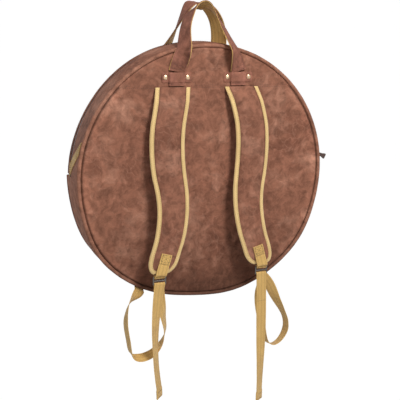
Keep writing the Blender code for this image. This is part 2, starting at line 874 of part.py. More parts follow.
def make_rivet(name, x, side, joint):
    """A domed rivet, its shank through the tab."""
    segments = 12
    seat = face_y + seat_gap + leather + seat_gap
    profile = [
        (0, seat + rivet_dome),
        (rivet_radius * 0.55, seat + rivet_dome * 0.86),
        (rivet_radius * 0.9, seat + rivet_dome * 0.5),
        (rivet_radius, seat),
        (rivet_shank, seat),
        (rivet_shank, face_y + seat_gap),
        (0, face_y + seat_gap),
    ]
    bm = bmesh.new()
    poles = [bm.verts.new((x, side * profile[0][1], rivet_height()))]
    poles.append(bm.verts.new((x, side * profile[-1][1], rivet_height())))
    rows = []
    for step in range(segments):
        turn = full_turn * step / segments
        rows.append(
            [
                bm.verts.new((x + r * math.cos(turn), side * y, rivet_height() + r * math.sin(turn)))
                for r, y in profile[1:-1]
            ]
        )
    for first, second in zip(rows, rows[1:] + rows[:1]):
        bm.faces.new((poles[0], first[0], second[0]))
        bm.faces.new((poles[1], second[-1], first[-1]))
        for index in range(len(first) - 1):
            bm.faces.new((first[index], first[index + 1], second[index + 1], second[index]))
    add_solid(name, bm, "copper_rivet", joint)


def make_handles():
    for name, joint, tab_joint, front in (
        ("back_handle", "back_handle_axis", "bag_centre", False),
        ("front_handle", "front_handle_axis", "lid_axis", True),
    ):
        make_handle(name, joint, front)
        place = "front" if front else "back"
        for side, sign in (("left", -1), ("right", 1)):
            make_tab(place + "_" + side + "_tab", sign * handle_spacing / 2, tab_joint, front)


def share_at(length_share, column):
    """Reads the pad's outline table between its rows."""
    rows = pad_outline_shares
    for before, after in zip(rows, rows[1:]):
        if length_share <= after[0]:
            part = (length_share - before[0]) / (after[0] - before[0])
            return before[column] + (after[column] - before[column]) * part
    return rows[-1][column]


def pad_thinning(length_share):
    """The top of the pad is skived thin where it is sewn into the yoke seam."""
    distance = length_share * (pad_top - pad_bottom)
    return min(1.0, pad_skived_share + (1 - pad_skived_share) * distance / pad_skived_length)


def pad_plane(length_share):
    """Y of the pad's middle plane."""
    thin = binding_half_thickness * pad_thinning(length_share)
    return -(face_y + seat_gap + thin + pad_bow * share_at(length_share, 2))


def pad_middle(sign, length_share):
    sweep = pad_spacing / 2 + pad_sweep * share_at(length_share, 1)
    z = pad_top + (pad_bottom - pad_top) * length_share
    return Vector((sign * sweep, pad_plane(length_share), z))


def pad_stations(inset=0.0):
    """Length shares of the sections, with the half width of the pad, drawn in by an inset."""
    length = pad_top - pad_bottom
    start = 1 - pad_end_round / length
    straight = [row[0] for row in pad_outline_shares if row[0] < start]
    stations = [(share, pad_width / 2 * share_at(share, 3) - inset) for share in straight]
    end_half = pad_end_width / 2
    across = pad_width / 2 * share_at(start, 3) - end_half
    steps = 6
    for step in range(steps + 1):
        turn = quarter_turn * step / steps
        half = end_half + across * math.cos(turn)
        along = pad_end_round * math.sin(turn)
        normal = Vector((math.cos(turn) / across, math.sin(turn) / pad_end_round)).normalized()
        stations.append((start + (along - inset * normal.y) / length, half - inset * normal.x))
    return stations


def pad_normal(sign, length_share):
    step = 0.01
    above = pad_middle(sign, max(length_share - step, 0))
    below = pad_middle(sign, min(length_share + step, 1))
    run = (below - above).normalized()
    return Vector((0, run.z, -run.y)).normalized()


def make_pad_layer(name, sign, low, high, inset, finish_name, joint):
    rings = []
    for share, half in pad_stations(inset):
        middle = pad_middle(sign, share)
        under = pad_normal(sign, share) * low * pad_thinning(share)
        over = pad_normal(sign, share) * high * pad_thinning(share)
        edge = Vector((half, 0, 0))
        rings.append([middle - edge + under, middle + edge + under, middle + edge + over, middle - edge + over])
    add_solid(name, loft(rings), finish_name, joint)


def binding_path(sign):
    """Points round the pad's edge, down its left side, across its end and up its right side."""
    stations = pad_stations()
    down = [(share, -half) for share, half in stations]
    up = [(share, half) for share, half in reversed(stations)]
    return down + [(1.0, 0.0)] + up


def make_binding(name, sign, joint):
    """A folded tape round the pad's edge: a channel that grips both faces."""
    path = binding_path(sign)
    points = [pad_middle(sign, share) + Vector((half, 0, 0)) for share, half in path]
    rounded_from = 1 - pad_end_round / (pad_top - pad_bottom)
    rings = []
    for index, (share, half) in enumerate(path):
        normal = pad_normal(sign, share)
        out = Vector((math.copysign(1, half), 0, 0))
        if share > rounded_from:
            along = (points[index + 1] - points[index - 1]).normalized()
            away = along.cross(normal).normalized()
            out = away if away.dot(out - Vector((0, 0, 1))) > 0 else -away
        thin = pad_thinning(share)
        bite = pad_half_thickness + seat_gap
        section = (
            (0.0, bite + binding),
            (0.0, -bite - binding),
            (-binding_overlap, -bite - binding),
            (-binding_overlap, -bite),
            (-binding, -bite),
            (-binding, bite),
            (-binding_overlap, bite),
            (-binding_overlap, bite + binding),
        )
        rings.append([points[index] + out * a + normal * (b * thin) for a, b in section])
    add_solid(name, loft(rings), "tan_binding", joint)


def buckle_bar_place(sign, bar):
    """Middle of one of the buckle's three bars, counted from the top."""
    y = pad_plane(1.0)
    z = pad_bottom - buckle_drop - bar * buckle_pitch
    return (sign * buckle_spacing / 2, y, z)


def make_anchor(name, sign, joint):
    """Webbing sewn on the pad's face, carried over its end and round the buckle's top bar."""
    bar = Vector(buckle_bar_place(sign, 0))
    face = pad_half_thickness + 2 * seat_gap + webbing / 2
    over_binding = binding_half_thickness + 4 * seat_gap + webbing / 2
    wrap = bar_wrap(1)
    end_z = pad_bottom
    run = (
        (end_z + anchor_patch, face),
        (end_z + binding_overlap + 10 * webbing, face),
        (end_z + binding_overlap + 6 * webbing, over_binding),
        (end_z + binding_overlap + webbing, over_binding),
        (end_z - webbing, over_binding),
        (bar.z + 3 * webbing, wrap + webbing / 2),
        (bar.z + 1.5 * webbing, wrap),
    )
    tilt = math.tan(anchor_tilt)
    points = []
    sides = []
    for z, out in run:
        above = max(0.0, z - bar.z - buckle_bar)
        shift = above * tilt
        plane = pad_plane(max(0.0, (pad_top - max(z, end_z)) / (pad_top - pad_bottom)))
        points.append(Vector((bar.x - sign * shift, plane - out, z)))
        lean = anchor_tilt * min(1.0, 2 * above / anchor_patch)
        sides.append(Vector((-math.cos(lean), 0, -sign * math.sin(lean))))
    steps = 6
    for step in range(steps + 1):
        turn = half_turn * step / steps
        points.append(bar + Vector((0, -wrap * math.cos(turn), -wrap * math.sin(turn))))
        sides.append(Vector((-1, 0, 0)))
    points.append(bar + Vector((0, wrap, buckle_drop - binding - 2 * webbing)))
    sides.append(Vector((-1, 0, 0)))
    frames = path_normals(points, sides)
    add_solid(name, ribbon(points, frames, webbing_width, -webbing / 2, webbing / 2), "tan_webbing", joint)


def rounded_rectangle(data, x, z, width, height, radius):
    """A closed outline with round corners in a flat curve."""
    corner_steps = 3
    points = []
    for quarter, (sx, sz) in enumerate(((1, 1), (-1, 1), (-1, -1), (1, -1))):
        for step in range(corner_steps + 1):
            turn = quarter_turn * (quarter + step / corner_steps)
            points.append(
                (
                    x + sx * (width / 2 - radius) + radius * math.cos(turn),
                    z + sz * (height / 2 - radius) + radius * math.sin(turn),
                )
            )
    spline = data.splines.new("POLY")
    spline.points.add(len(points) - 1)
    for target, (px, pz) in zip(spline.points, points):
        target.co = (px, pz, 0, 1)
    spline.use_cyclic_u = True


def make_buckle(name, sign, joint):
    """A flat metal slide with three bars and two slots."""
    data = bpy.data.curves.new(name, "CURVE")
    data.dimensions = "2D"
    data.fill_mode = "BOTH"
    data.extrude = buckle_thickness / 2
    height = 2 * buckle_pitch + buckle_bar
    rounded_rectangle(data, 0, -buckle_pitch, buckle_width, height, buckle_bar / 2)
    slot_width = webbing_width + 3 * seat_gap
    slot_height = buckle_pitch - buckle_bar
    for slot in (0.5, 1.5):
        rounded_rectangle(data, 0, -slot * buckle_pitch, slot_width, slot_height, buckle_bar / 4)
    guide = bpy.data.objects.new(name + "_outline", data)
    bpy.context.scene.collection.objects.link(guide)
    evaluated = guide.evaluated_get(bpy.context.evaluated_depsgraph_get())
    mesh = bpy.data.meshes.new_from_object(evaluated)
    bpy.data.objects.remove(guide, do_unlink=True)
    bm = bmesh.new()
    bm.from_mesh(mesh)
    bmesh.ops.remove_doubles(bm, verts=bm.verts, dist=weld)
    top = Vector(buckle_bar_place(sign, 0))
    stand = Matrix.Translation(top) @ Matrix.Rotation(quarter_turn, 4, "X")
    bmesh.ops.transform(bm, matrix=stand, verts=bm.verts)
    add_solid(name, bm, "dark_steel", joint)


def bar_wrap(layers):
    """Distance from a bar's middle to the middle of a webbing layer that is laid round it."""
    return math.hypot(buckle_bar, buckle_thickness) / 2 + layers * seat_gap + (layers - 0.5) * webbing


def make_tail(name, sign, length, joint):
    """The free end of the strap: hooked over the lower bar, hanging, with a folded hem."""
    bar = Vector(buckle_bar_place(sign, 2))
    wrap = bar_wrap(1)
    points = []
    steps = 5
    for step in range(steps + 1):
        turn = (150 - 150 * step / steps) * degree
        points.append(bar + Vector((0, -wrap * math.cos(turn), wrap * math.sin(turn))))
    wave = webbing
    runs = 12
    for step in range(1, runs + 1):
        share = step / runs
        z = bar.z - (length - tail_hem) * share
        y = bar.y - wrap + 2 * wrap * share
        points.append(Vector((bar.x + wave * math.sin(full_turn * share), y, z)))
    hem_start = points[-1]
    points.append(hem_start + Vector((0, 0, -seat_gap * 2)))
    points.append(Vector((hem_start.x, hem_start.y, bar.z - length)))
    sides = [Vector((-1, 0, 0))] * len(points)
    half = webbing / 2
    low = [-half] * (len(points) - 2) + [-3 * half] * 2
    high = [half] * (len(points) - 2) + [3 * half] * 2
    add_solid(name, ribbon(points, path_normals(points, sides), webbing_width, low, high), "tan_webbing", joint)


def loop_route(sign):
    """The lower loop's hanging points and width directions, and its foot on the bottom seam."""
    bar = Vector(buckle_bar_place(sign, 2))
    shares, spread, drop = left_loop_shares, left_loop_spread, left_loop_drop
    if sign > 0:
        shares, spread, drop = right_loop_shares, right_loop_spread, right_loop_drop
    way = -seam_y - bar.y
    points = [bar + Vector((0, bar_wrap(2), -buckle_bar / 2))]
    sides = [Vector((-1, 0, 0))]
    for out, towards_bag, down, turn, tilt in shares:
        points.append(bar + Vector((sign * spread * out, way * towards_bag, -drop * down)))
        level = Vector((-math.sin(turn * degree), math.cos(turn * degree), 0))
        sides.append(level * math.cos(tilt * degree) + Vector((0, 0, math.sin(tilt * degree))))
    radius = bag_radius + seat_gap + webbing / 2
    across = loop_anchor_spacing / 2
    foot = Vector((sign * across, 0, -math.sqrt(radius ** 2 - across ** 2)))
    return points, sides, foot


def smooth_run(points, per_span=3):
    """A Catmull-Rom run through the points."""
    run = []
    padded = [points[0]] + points + [points[-1]]
    for a, b, c, d in zip(padded, padded[1:], padded[2:], padded[3:]):
        for step in range(per_span):
            t = step / per_span
            slope = (c - a) * t
            bend = (2 * a - 5 * b + 4 * c - d) * t ** 2
            swing = (3 * b - a - 3 * c + d) * t ** 3
            run.append(b + (slope + bend + swing) / 2)
    run.append(points[-1])
    return run


def seam_points(foot):
    """From the hanging loop round the piping, and flat along the gusset where the strap is sewn."""
    outward = foot.normalized()
    lip = outward * (piping_radius + webbing)
    back = Vector((0, -gusset_edge - 2 * piping_radius - webbing, 0))
    corner = Vector((0, -gusset_edge - piping_radius, 0))
    sewn = Vector((0, 3 * piping_radius - gusset_edge, 0))
    return [
        foot + 3 * lip + back,
        foot + 1.6 * lip + back + Vector((0, webbing / 2, 0)),
        foot + 1.2 * lip + corner,
        foot + lip / 2 + Vector((0, -gusset_edge + piping_radius, 0)),
        foot + sewn,
        foot + sewn + Vector((0, loop_sewn_length, 0)),
    ]


def make_loop(name, sign):
    points, sides, foot = loop_route(sign)
    along_seam = foot.normalized().cross(Vector((0, 1, 0)))
    along_seam = along_seam if along_seam.x < 0 else -along_seam
    sewn = seam_points(foot)
    run = smooth_run(points + sewn[:1]) + sewn[1:]
    side_run = smooth_run(sides + [along_seam]) + [along_seam] * (len(sewn) - 1)
    frames = path_normals(run, side_run)
    add_solid(name, ribbon(run, frames, webbing_width, -webbing / 2, webbing / 2), "tan_webbing")


def make_shoulder_straps():
    half = pad_half_thickness
    for side, sign, tail_length in (("left", -1, left_tail_length), ("right", 1, right_tail_length)):
        joint = side + "_pad_axis"
        edge = binding + seat_gap
        make_pad_layer(side + "_pad_leather", sign, half - leather, half, edge, "brown_leather", joint)
        foam_low = -half + pad_underside + seat_gap
        make_pad_layer(side + "_pad_foam", sign, foam_low, foam_low + pad_foam, edge, "foam_core", joint)
        make_pad_layer(side + "_pad_underside", sign, -half, -half + pad_underside, edge, "dark_lining", joint)
        make_binding(side + "_pad_binding", sign, joint)
        make_anchor(side + "_buckle_anchor", sign, joint)
        make_buckle(side + "_buckle", sign, side + "_buckle_axis")
        make_tail(side + "_strap_tail", sign, tail_length, side + "_tail_axis")
        make_loop(side + "_strap_loop", sign)


def pocket_slider_place():
    half_chord = math.sqrt(pocket_radius ** 2 - pocket_top ** 2)
    y = face_y + seat_gap + pocket_depth / 2
    return (half_chord - 2 * pocket_slider_length, y, pocket_zip_top() + seat_gap)


def pocket_zip_top():
    return pocket_top + seat_gap + 2 * tape_thickness


def pocket_pull_place():
    x, y, z = pocket_slider_place()
    return (x, y, z + pocket_slider_height + pocket_pull_thickness / 2 + seat_gap)


def make_pocket():
    """A half-moon pouch sewn on the lower front, open at the back and closed on top by a zip."""
    base = face_y + seat_gap
    front = base + pocket_depth
    wall = leather
    profile = [
        (0, front),
        (pocket_radius - pocket_roll, front),
        (pocket_radius, front - pocket_roll),
        (pocket_radius, base),
        (pocket_radius - wall, base),
        (pocket_radius - wall, front - pocket_roll - wall / 3),
        (pocket_radius - pocket_roll - wall / 3, front - wall),
        (0, front - wall),
    ]
    pouch = trim(turned_disc(profile), (0, 0, pocket_top), (0, 0, 1))
    add_solid("pocket_panel", pouch, "brown_leather")
    half_chord = math.sqrt(pocket_radius ** 2 - pocket_top ** 2)
    ridge = pocket_zip_ridge / 2
    middle = base + pocket_depth / 2
    low = pocket_top + seat_gap
    high = low + tape_thickness
    top = pocket_zip_top()
    section = (
        (base, low),
        (front, low),
        (front, high),
        (middle + ridge, high),
        (middle + ridge, top),
        (middle - ridge, top),
        (middle - ridge, high),
        (base, high),
    )
    rings = [[Vector((x, y, z)) for y, z in section] for x in (-half_chord, half_chord)]
    add_solid("pocket_zip", loft(rings), "zip_tape")
    make_pocket_slider()


def make_pocket_slider():
    x, y, z = pocket_slider_place()
    half_length = pocket_slider_length / 2
    half_width = pocket_slider_width / 2
    body = box((x - half_length, y - half_width, z), (x + half_length, y + half_width, z + pocket_slider_height))
    slider = add_solid("pocket_slider", body, "dark_steel", "pocket_slider_axis")
    bevel = slider.modifiers.new("round", "BEVEL")
    bevel.width = slider_plate / 2
    bevel.segments = 2
    px, py, pz = pocket_pull_place()
    half_pull = pocket_pull_width / 2
    half_thick = pocket_pull_thickness / 2
    low = (px - pocket_pull_length, py - half_pull, pz - half_thick)
    tab = box(low, (px + half_thick, py + half_pull, pz + half_thick))
    pull = add_solid("pocket_pull", tab, "dark_pull", "pocket_pull_axis")
    pull_bevel = pull.modifiers.new("round", "BEVEL")
    pull_bevel.width = half_thick / 2
    pull_bevel.segments = 2


clear_scene()
parts_collection, cutters_collection = make_collections()
make_finishes()
make_joint_empties()
make_back()
make_gusset()
make_front()
make_dividers()
make_zip()
make_slider()
make_pull()
make_end_tabs()
make_handles()
make_shoulder_straps()
make_pocket()
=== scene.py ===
"""Dresses the packed cymbal bag: leather, webbing, padding, zip and metal, with its stage.

Shapes are written in metres from the middle of the round body, with -Y towards the back that
carries the shoulder straps, and are put in place below the grip, which is the packed origin.
"""

import math

import bmesh
import bpy
import numpy as np
from mathutils import Matrix, Vector, noise


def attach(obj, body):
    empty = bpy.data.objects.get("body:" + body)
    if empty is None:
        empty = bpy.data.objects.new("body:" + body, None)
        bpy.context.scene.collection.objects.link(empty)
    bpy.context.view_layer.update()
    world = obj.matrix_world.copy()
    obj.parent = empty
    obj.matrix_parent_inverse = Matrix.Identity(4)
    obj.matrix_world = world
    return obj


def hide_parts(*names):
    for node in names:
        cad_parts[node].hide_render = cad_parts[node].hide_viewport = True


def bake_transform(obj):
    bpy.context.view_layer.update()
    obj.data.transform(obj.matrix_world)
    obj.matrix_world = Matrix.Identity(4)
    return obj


bl_info = {
    "name": "Cymbal bag",
    "version": (1, 0, 0),
    "blender": (4, 5, 0),
    "location": "3D View > Sidebar > Cymbal bag",
    "description": "Builds the leather, webbing, padding, zip and metal of a round cymbal bag",
    "category": "Object",
}

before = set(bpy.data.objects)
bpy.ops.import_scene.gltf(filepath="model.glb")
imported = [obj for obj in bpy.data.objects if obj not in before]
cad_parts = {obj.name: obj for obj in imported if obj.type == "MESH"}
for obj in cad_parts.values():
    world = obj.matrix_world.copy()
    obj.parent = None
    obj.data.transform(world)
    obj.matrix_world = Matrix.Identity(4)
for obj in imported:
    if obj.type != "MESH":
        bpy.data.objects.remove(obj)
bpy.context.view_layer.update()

MM = 0.001
PI = math.pi
BODY_LIFT = -0.386
BODY_RADIUS = 295 * MM
FACE = 54 * MM
SEAM = 51.45 * MM
GUSSET_EDGE = 48.75 * MM
RIM = 288 * MM
YOKE_SEAM = 203 * MM
LEATHER = 1.6 * MM
WEBBING_WIDE = 25 * MM
WEBBING_THICK = 1.4 * MM
TAB_LOW = 212 * MM
TAB_TALL = 22 * MM
TAB_SPACING = 146 * MM
ZIP_MIDDLE = 20 * MM
ZIP_RING = 292.4 * MM
PAD_TOP = 201.5 * MM
PAD_LENGTH = 406.5 * MM
PAD_BOTTOM = PAD_TOP - PAD_LENGTH
PAD_ROUND = 34 * MM
PAD_HALF = 5.8 * MM
BAR_Y = -103.4 * MM
BAR_Z = -213 * MM
BUCKLE_X = 125 * MM
POCKET_RIM = 236 * MM
POCKET_TOP = -40 * MM

# Along each pad: share of its length, then shares of its sweep, bow and half-width.
PAD_ROWS = (
    (0.0, 0.0, 0.0, 1.0), (0.06, 0.17, 0.20, 1.0), (0.13, 0.35, 0.34, 1.0),
    (0.20, 0.50, 0.41, 1.0), (0.28, 0.57, 0.45, 1.0), (0.38, 0.55, 0.49, 1.0),
    (0.47, 0.45, 0.55, 0.99), (0.56, 0.30, 0.66, 0.95), (0.65, 0.26, 0.77, 0.915),
    (0.74, 0.36, 0.87, 0.90), (0.82, 0.55, 0.94, 0.89), (0.90, 0.84, 0.98, 0.88),
    (1.0, 1.12, 1.0, 0.86),
)
# Along each loop: shares of its spread, of the way to the bag and of its drop, turn and tilt.
LEFT_LOOP = (
    (-0.04, 0.12, 0.15, 95, 0), (-0.14, 0.18, 0.33, 115, 0), (-0.23, 0.24, 0.50, 140, 0),
    (-0.29, 0.28, 0.66, 152, 0), (-0.16, 0.32, 0.82, 168, -14), (0.15, 0.38, 0.95, 178, -25),
    (0.54, 0.46, 1.00, 184, -24), (0.84, 0.55, 0.95, 188, -14), (0.94, 0.63, 0.76, 189, 0),
    (1.00, 0.73, 0.53, 186, 0), (0.85, 0.84, 0.31, 158, 8),
)
RIGHT_LOOP = (
    (0.30, 0.12, 0.15, 70, 0), (0.57, 0.15, 0.36, 40, 0), (0.81, 0.21, 0.53, 16, 0),
    (0.95, 0.27, 0.65, 8, 0), (1.00, 0.34, 0.77, 4, 0), (0.94, 0.42, 0.88, 0, -6),
    (0.79, 0.50, 0.97, -4, -10), (0.61, 0.58, 1.00, -4, -12), (0.45, 0.65, 0.94, 2, -12),
    (0.34, 0.73, 0.75, 14, -6), (0.27, 0.82, 0.53, 40, 0), (0.28, 0.89, 0.33, 66, -10),
)
# A handle's leg as a cubic curve: shares of the half spacing and of the rise.
HANDLE_LEG = ((1.0, 0.0), (0.76, 0.42), (0.50, 1.05), (0.0, 1.013))


def colour(label, text, value):
    return bpy.props.FloatVectorProperty(
        name=label, description=text, default=(*value, 1.0), size=4, min=0, max=1, subtype="COLOR"
    )


def length(label, text, value, high=0.1):
    return bpy.props.FloatProperty(
        name=label, description=text, default=value, min=0, max=high, subtype="DISTANCE",
        unit="LENGTH",
    )


class BagColours(bpy.types.PropertyGroup):
    leather: colour("Leather", "Main tone of the brown leather", (0.256, 0.108, 0.067))
    leather_pale: colour("Leather, rubbed", "Tone of the rubbed patches", (0.395, 0.192, 0.127))
    leather_dark: colour("Leather, dark", "Tone of the dark patches", (0.130, 0.047, 0.029))
    strap_leather: colour("Handle leather", "Tone of the handles and tabs", (0.300, 0.124, 0.084))
    webbing: colour("Webbing", "Tone of the tan webbing", (0.92, 0.60, 0.20))
    webbing_dark: colour("Webbing, shade", "Tone between its yarns", (0.42, 0.235, 0.070))
    binding: colour("Binding", "Tone of the tape round the pads", (1.0, 0.715, 0.335))
    # Also the tone of the painted shade line along the tape's inner edge.
    binding_dark: colour("Binding, shade", "Tone between the tape's yarns", (0.54, 0.355, 0.13))
    lining: colour("Lining", "Tone of the cloth inside", (0.030, 0.027, 0.025))
    mesh_cloth: colour("Pad underside", "Tone of the cloth under the pads", (0.045, 0.038, 0.034))
    rivet: colour("Rivets", "Tone of the rivets", (0.78, 0.56, 0.36))
    steel: colour("Buckles", "Tone of the buckles and sliders", (0.17, 0.155, 0.14))
    zip_tape: colour("Zip", "Tone of the zip's tape and teeth", (0.085, 0.042, 0.030))
    pull: colour("Zip pull", "Tone of the cord and its grip", (0.050, 0.026, 0.020))
    thread: colour("Brown thread", "Tone of the thread on the leather", (0.10, 0.040, 0.028))
    tan_thread: colour("Tan thread", "Tone of the thread on the webbing", (0.42, 0.25, 0.085))
    floor: colour("Floor", "Tone of the floor and backdrop", (0.86, 0.86, 0.86))


class BagSizes(bpy.types.PropertyGroup):
    flat_foot: length("Flat foot", "How far the hanging body's foot is drawn up", 11.0 * MM)
    full_side: length("Full side", "How far the lower sides stand out", 10.0 * MM)
    lid_slump: length("Lid slump", "How far the lid's upper left edge sinks", 6.0 * MM)
    crown: length("Crown", "How far the padded faces stand out in their middle", 3.0 * MM)
    ruffle: length("Ruffle", "Depth of the slack folds in the leather", 1.5 * MM)
    pucker: length("Pucker", "Depth of the gathers along the round seams", 0.5 * MM)
    welt: length("Welt", "Radius of the piping in the round seams", 4.4 * MM)
    stitch: length("Stitch", "Length of one stitch", 3.2 * MM)
    stitch_gap: length("Stitch gap", "Bare leather between two stitches", 1.1 * MM)
    thread: length("Thread", "Radius of the thread", 0.32 * MM)
    pad_crown: length("Pad crown", "How far the pads' faces stand out in their middle", 1.9 * MM)
    webbing_rib: length("Webbing rib", "Width of one rib of the webbing", 1.7 * MM)
    tooth_pitch: length("Tooth pitch", "Step from one zip tooth to the next", 3.0 * MM)
    floor_drop: length("Floor drop", "From the grip down to the floor", 1.75, 4.0)


def sizes():
    return bpy.context.scene.cymbal_bag_sizes


def colours():
    return bpy.context.scene.cymbal_bag_colours


# Meshes


def settled(points):
    """The hanging body's weight: a flatter foot, fuller lower sides, and a lid that slumps."""
    points = np.array(points, float)
    x, y, z = (points[..., axis].copy() for axis in range(3))
    depth = np.clip(-z / BODY_RADIUS, 0.0, 1.0)
    radius = np.hypot(x, z)
    from_foot = np.arctan2(x, -z)
    points[..., 2] += sizes().flat_foot * depth ** 3 * np.exp(-((from_foot + 0.12) / 0.36) ** 2)
    fuller = np.where(x < 0, 1.15, 0.8) * sizes().full_side / BODY_RADIUS
    points[..., 0] *= 1 + fuller * np.sin(PI * depth ** 1.6) ** 2
    past_zip = np.clip((y - 27 * MM) / (20 * MM), 0.0, 1.0)
    from_corner = np.arctan2(z, x) - math.radians(152)
    inward = sizes().lid_slump * np.exp(-(from_corner / 0.55) ** 2)
    inward *= np.clip(radius / BODY_RADIUS, 0, 1) ** 4
    share = 1 - inward * past_zip / np.maximum(radius, 1 * MM)
    points[..., 0] *= share
    points[..., 2] *= share
    return points


def link_object(name, data):
    made = bpy.data.objects.new(name, data)
    bpy.context.scene.collection.objects.link(made)
    return made


def make_piece(name, shape, look, body, replaces=(), smooth=40, settle=False, slot=None):
    """A piece from a shape in the body's frame, moved below the grip, smooth, on its CAD body."""
    verts, faces, uvs = shape
    mesh = bpy.data.meshes.new(name)
    points = np.array(verts, float).reshape(-1, 3)
    points = (settled(points) if settle else points) + (0, 0, BODY_LIFT)
    mesh.from_pydata(points.tolist(), [], [tuple(f) for f in faces])
    if uvs is not None:
        layer = mesh.uv_layers.new(name="UVMap")
        corners = np.zeros(len(mesh.loops), int)
        mesh.loops.foreach_get("vertex_index", corners)
        layer.data.foreach_set("uv", np.array(uvs, np.float32).reshape(-1, 2)[corners].ravel())
    bm = bmesh.new()
    bm.from_mesh(mesh)
    bmesh.ops.recalc_face_normals(bm, faces=bm.faces)
    bm.to_mesh(mesh)
    bm.free()
    mesh.shade_smooth()
    if smooth < 180:
        mesh.set_sharp_from_angle(angle=math.radians(smooth))
    mesh.materials.append(material_for(look))
    piece = link_object(name, mesh)
    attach(piece, body)
    slot or looks()[look][0]
    if replaces:
        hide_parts(*replaces)
    return piece


def grid_faces(rows, columns, start=0, round_rows=False, round_columns=False):
    """Quads between the rows of a grid, which may close on itself either way."""
    faces = []
    for i in range(rows if round_rows else rows - 1):
        this, after = start + i * columns, start + (i + 1) % rows * columns
        for j in range(columns if round_columns else columns - 1):
            beside = (j + 1) % columns
            faces.append((this + j, this + beside, after + beside, after + j))
    return faces


def tube_faces(rows, ring, start=0):
    """A tube of rings with both ends closed."""
    last = start + (rows - 1) * ring
    ends = [tuple(range(start, start + ring)), tuple(reversed(range(last, last + ring)))]
    return grid_faces(rows, ring, start, round_columns=True) + ends


def closed_sheet(outer, inner, uv_outer):
    """Two grids of the same size, joined round their edges into one sheet with a thickness."""
    rows, columns = outer.shape[:2]
    count = rows * columns
    faces = grid_faces(rows, columns) + grid_faces(rows, columns, count)
    edge = [(0, j) for j in range(columns)] + [(i, columns - 1) for i in range(1, rows)]
    edge += [(rows - 1, j) for j in range(columns - 2, -1, -1)]
    edge += [(i, 0) for i in range(rows - 2, 0, -1)]
    loop = [i * columns + j for i, j in edge]
    faces += [(a, b, b + count, a + count) for a, b in zip(loop, loop[1:] + loop[:1])]
    verts = np.concatenate([outer.reshape(-1, 3), inner.reshape(-1, 3)])
    return verts, faces, np.concatenate([uv_outer.reshape(-1, 2)] * 2)


def unit(vectors):
    return vectors / np.linalg.norm(vectors, axis=-1, keepdims=True)


def run_along(path):
    """The distance from a path's start to each of its points."""
    return np.concatenate([[0], np.cumsum(np.linalg.norm(np.diff(path, axis=0), axis=1))])


def read_at(at, run, values):
    return np.stack([np.interp(at, run, values[:, k]) for k in range(3)], 1)


def smooth_path(points, sides, spacing):
    """Even steps along a smooth curve, with the width directions carried along.

    Gives the places, the width directions, the face directions and the run at each step.
    """
    p, s = np.array(points, float), np.array(sides, float)
    pp = np.vstack([2 * p[0] - p[1], p, 2 * p[-1] - p[-2]])
    ss = np.vstack([s[0], s, s[-1]])
    fine, fine_sides = [], []
    for k in range(1, len(pp) - 2):
        for t in np.linspace(0, 1, 24, endpoint=False):
            for source, out in ((pp, fine), (ss, fine_sides)):
                a, b, c, d = source[k - 1: k + 3]
                bend = (2 * a - 5 * b + 4 * c - d) * t * t + (3 * b - a - 3 * c + d) * t ** 3
                out.append(b + ((c - a) * t + bend) / 2)
    fine, fine_sides = np.array(fine + [p[-1]]), np.array(fine_sides + [s[-1]])
    run = run_along(fine)
    at = np.linspace(0, run[-1], max(2, int(round(run[-1] / spacing)) + 1))
    path, side = read_at(at, run, fine), read_at(at, run, fine_sides)
    tangent = unit(np.gradient(path, axis=0))
    side = unit(side - (side * tangent).sum(1)[:, None] * tangent)
    return path, side, np.cross(side, tangent), at


STRAP_COLUMNS = np.array(
    [0, 0.012, 0.035, 0.08, 0.16, 0.30, 0.42, 0.5, 0.58, 0.70, 0.84, 0.92, 0.965, 0.988, 1.0]
)
STRAP_SWELL = np.array(
    [0.30, 0.78, 1.0, 1.06, 0.93, 0.96, 1.0, 1.0, 1.0, 0.96, 0.93, 1.06, 1.0, 0.78, 0.30]
)


def strap(line, width, low, high, waves=0.0, seed=0.0):
    """A flat band with round selvedges: low and high are its faces, measured along the normal."""
    path, side, normal, run = line
    count = len(path)
    low, high = np.broadcast_to(low, count)[:, None], np.broadcast_to(high, count)[:, None]
    middle, half = (low + high) / 2, (high - low) / 2
    across = np.repeat((STRAP_COLUMNS - 0.5)[None, :] * width, count, 0)
    ripple = np.zeros(across.shape)
    if waves:
        for i, j in np.ndindex(ripple.shape):
            place = (run[i] * 45, STRAP_COLUMNS[j] * 1.6 + seed, seed)
            ripple[i, j] = waves * noise.noise(place)

    def points(lift):
        wide = path[:, None, :] + side[:, None, :] * across[..., None]
        return wide + normal[:, None, :] * lift[..., None]

    over = points(middle + half * STRAP_SWELL + ripple)
    under = points(middle - half * STRAP_SWELL + ripple)
    section = np.concatenate([over, under[:, ::-1]], axis=1)
    u = np.concatenate([across, across[:, ::-1]], axis=1)
    uvs = np.stack([u, np.broadcast_to(np.array(run)[:, None], u.shape)], -1)
    return section.reshape(-1, 3), tube_faces(count, section.shape[1]), uvs.reshape(-1, 2)


def join_parts(parts):
    """Puts several meshes' verts, faces and uvs together."""
    verts, faces, uvs, start = [], [], [], 0
    for v, f, uv in parts:
        v = np.array(v, float).reshape(-1, 3)
        verts.append(v)
        faces += [tuple(start + k for k in face) for face in f]
        uvs.append(np.zeros((len(v), 2)) if uv is None else np.array(uv, float).reshape(-1, 2))
        start += len(v)
    return np.concatenate(verts), faces, np.concatenate(uvs)


def without_uvs(parts):
    return *join_parts(parts)[:2], None


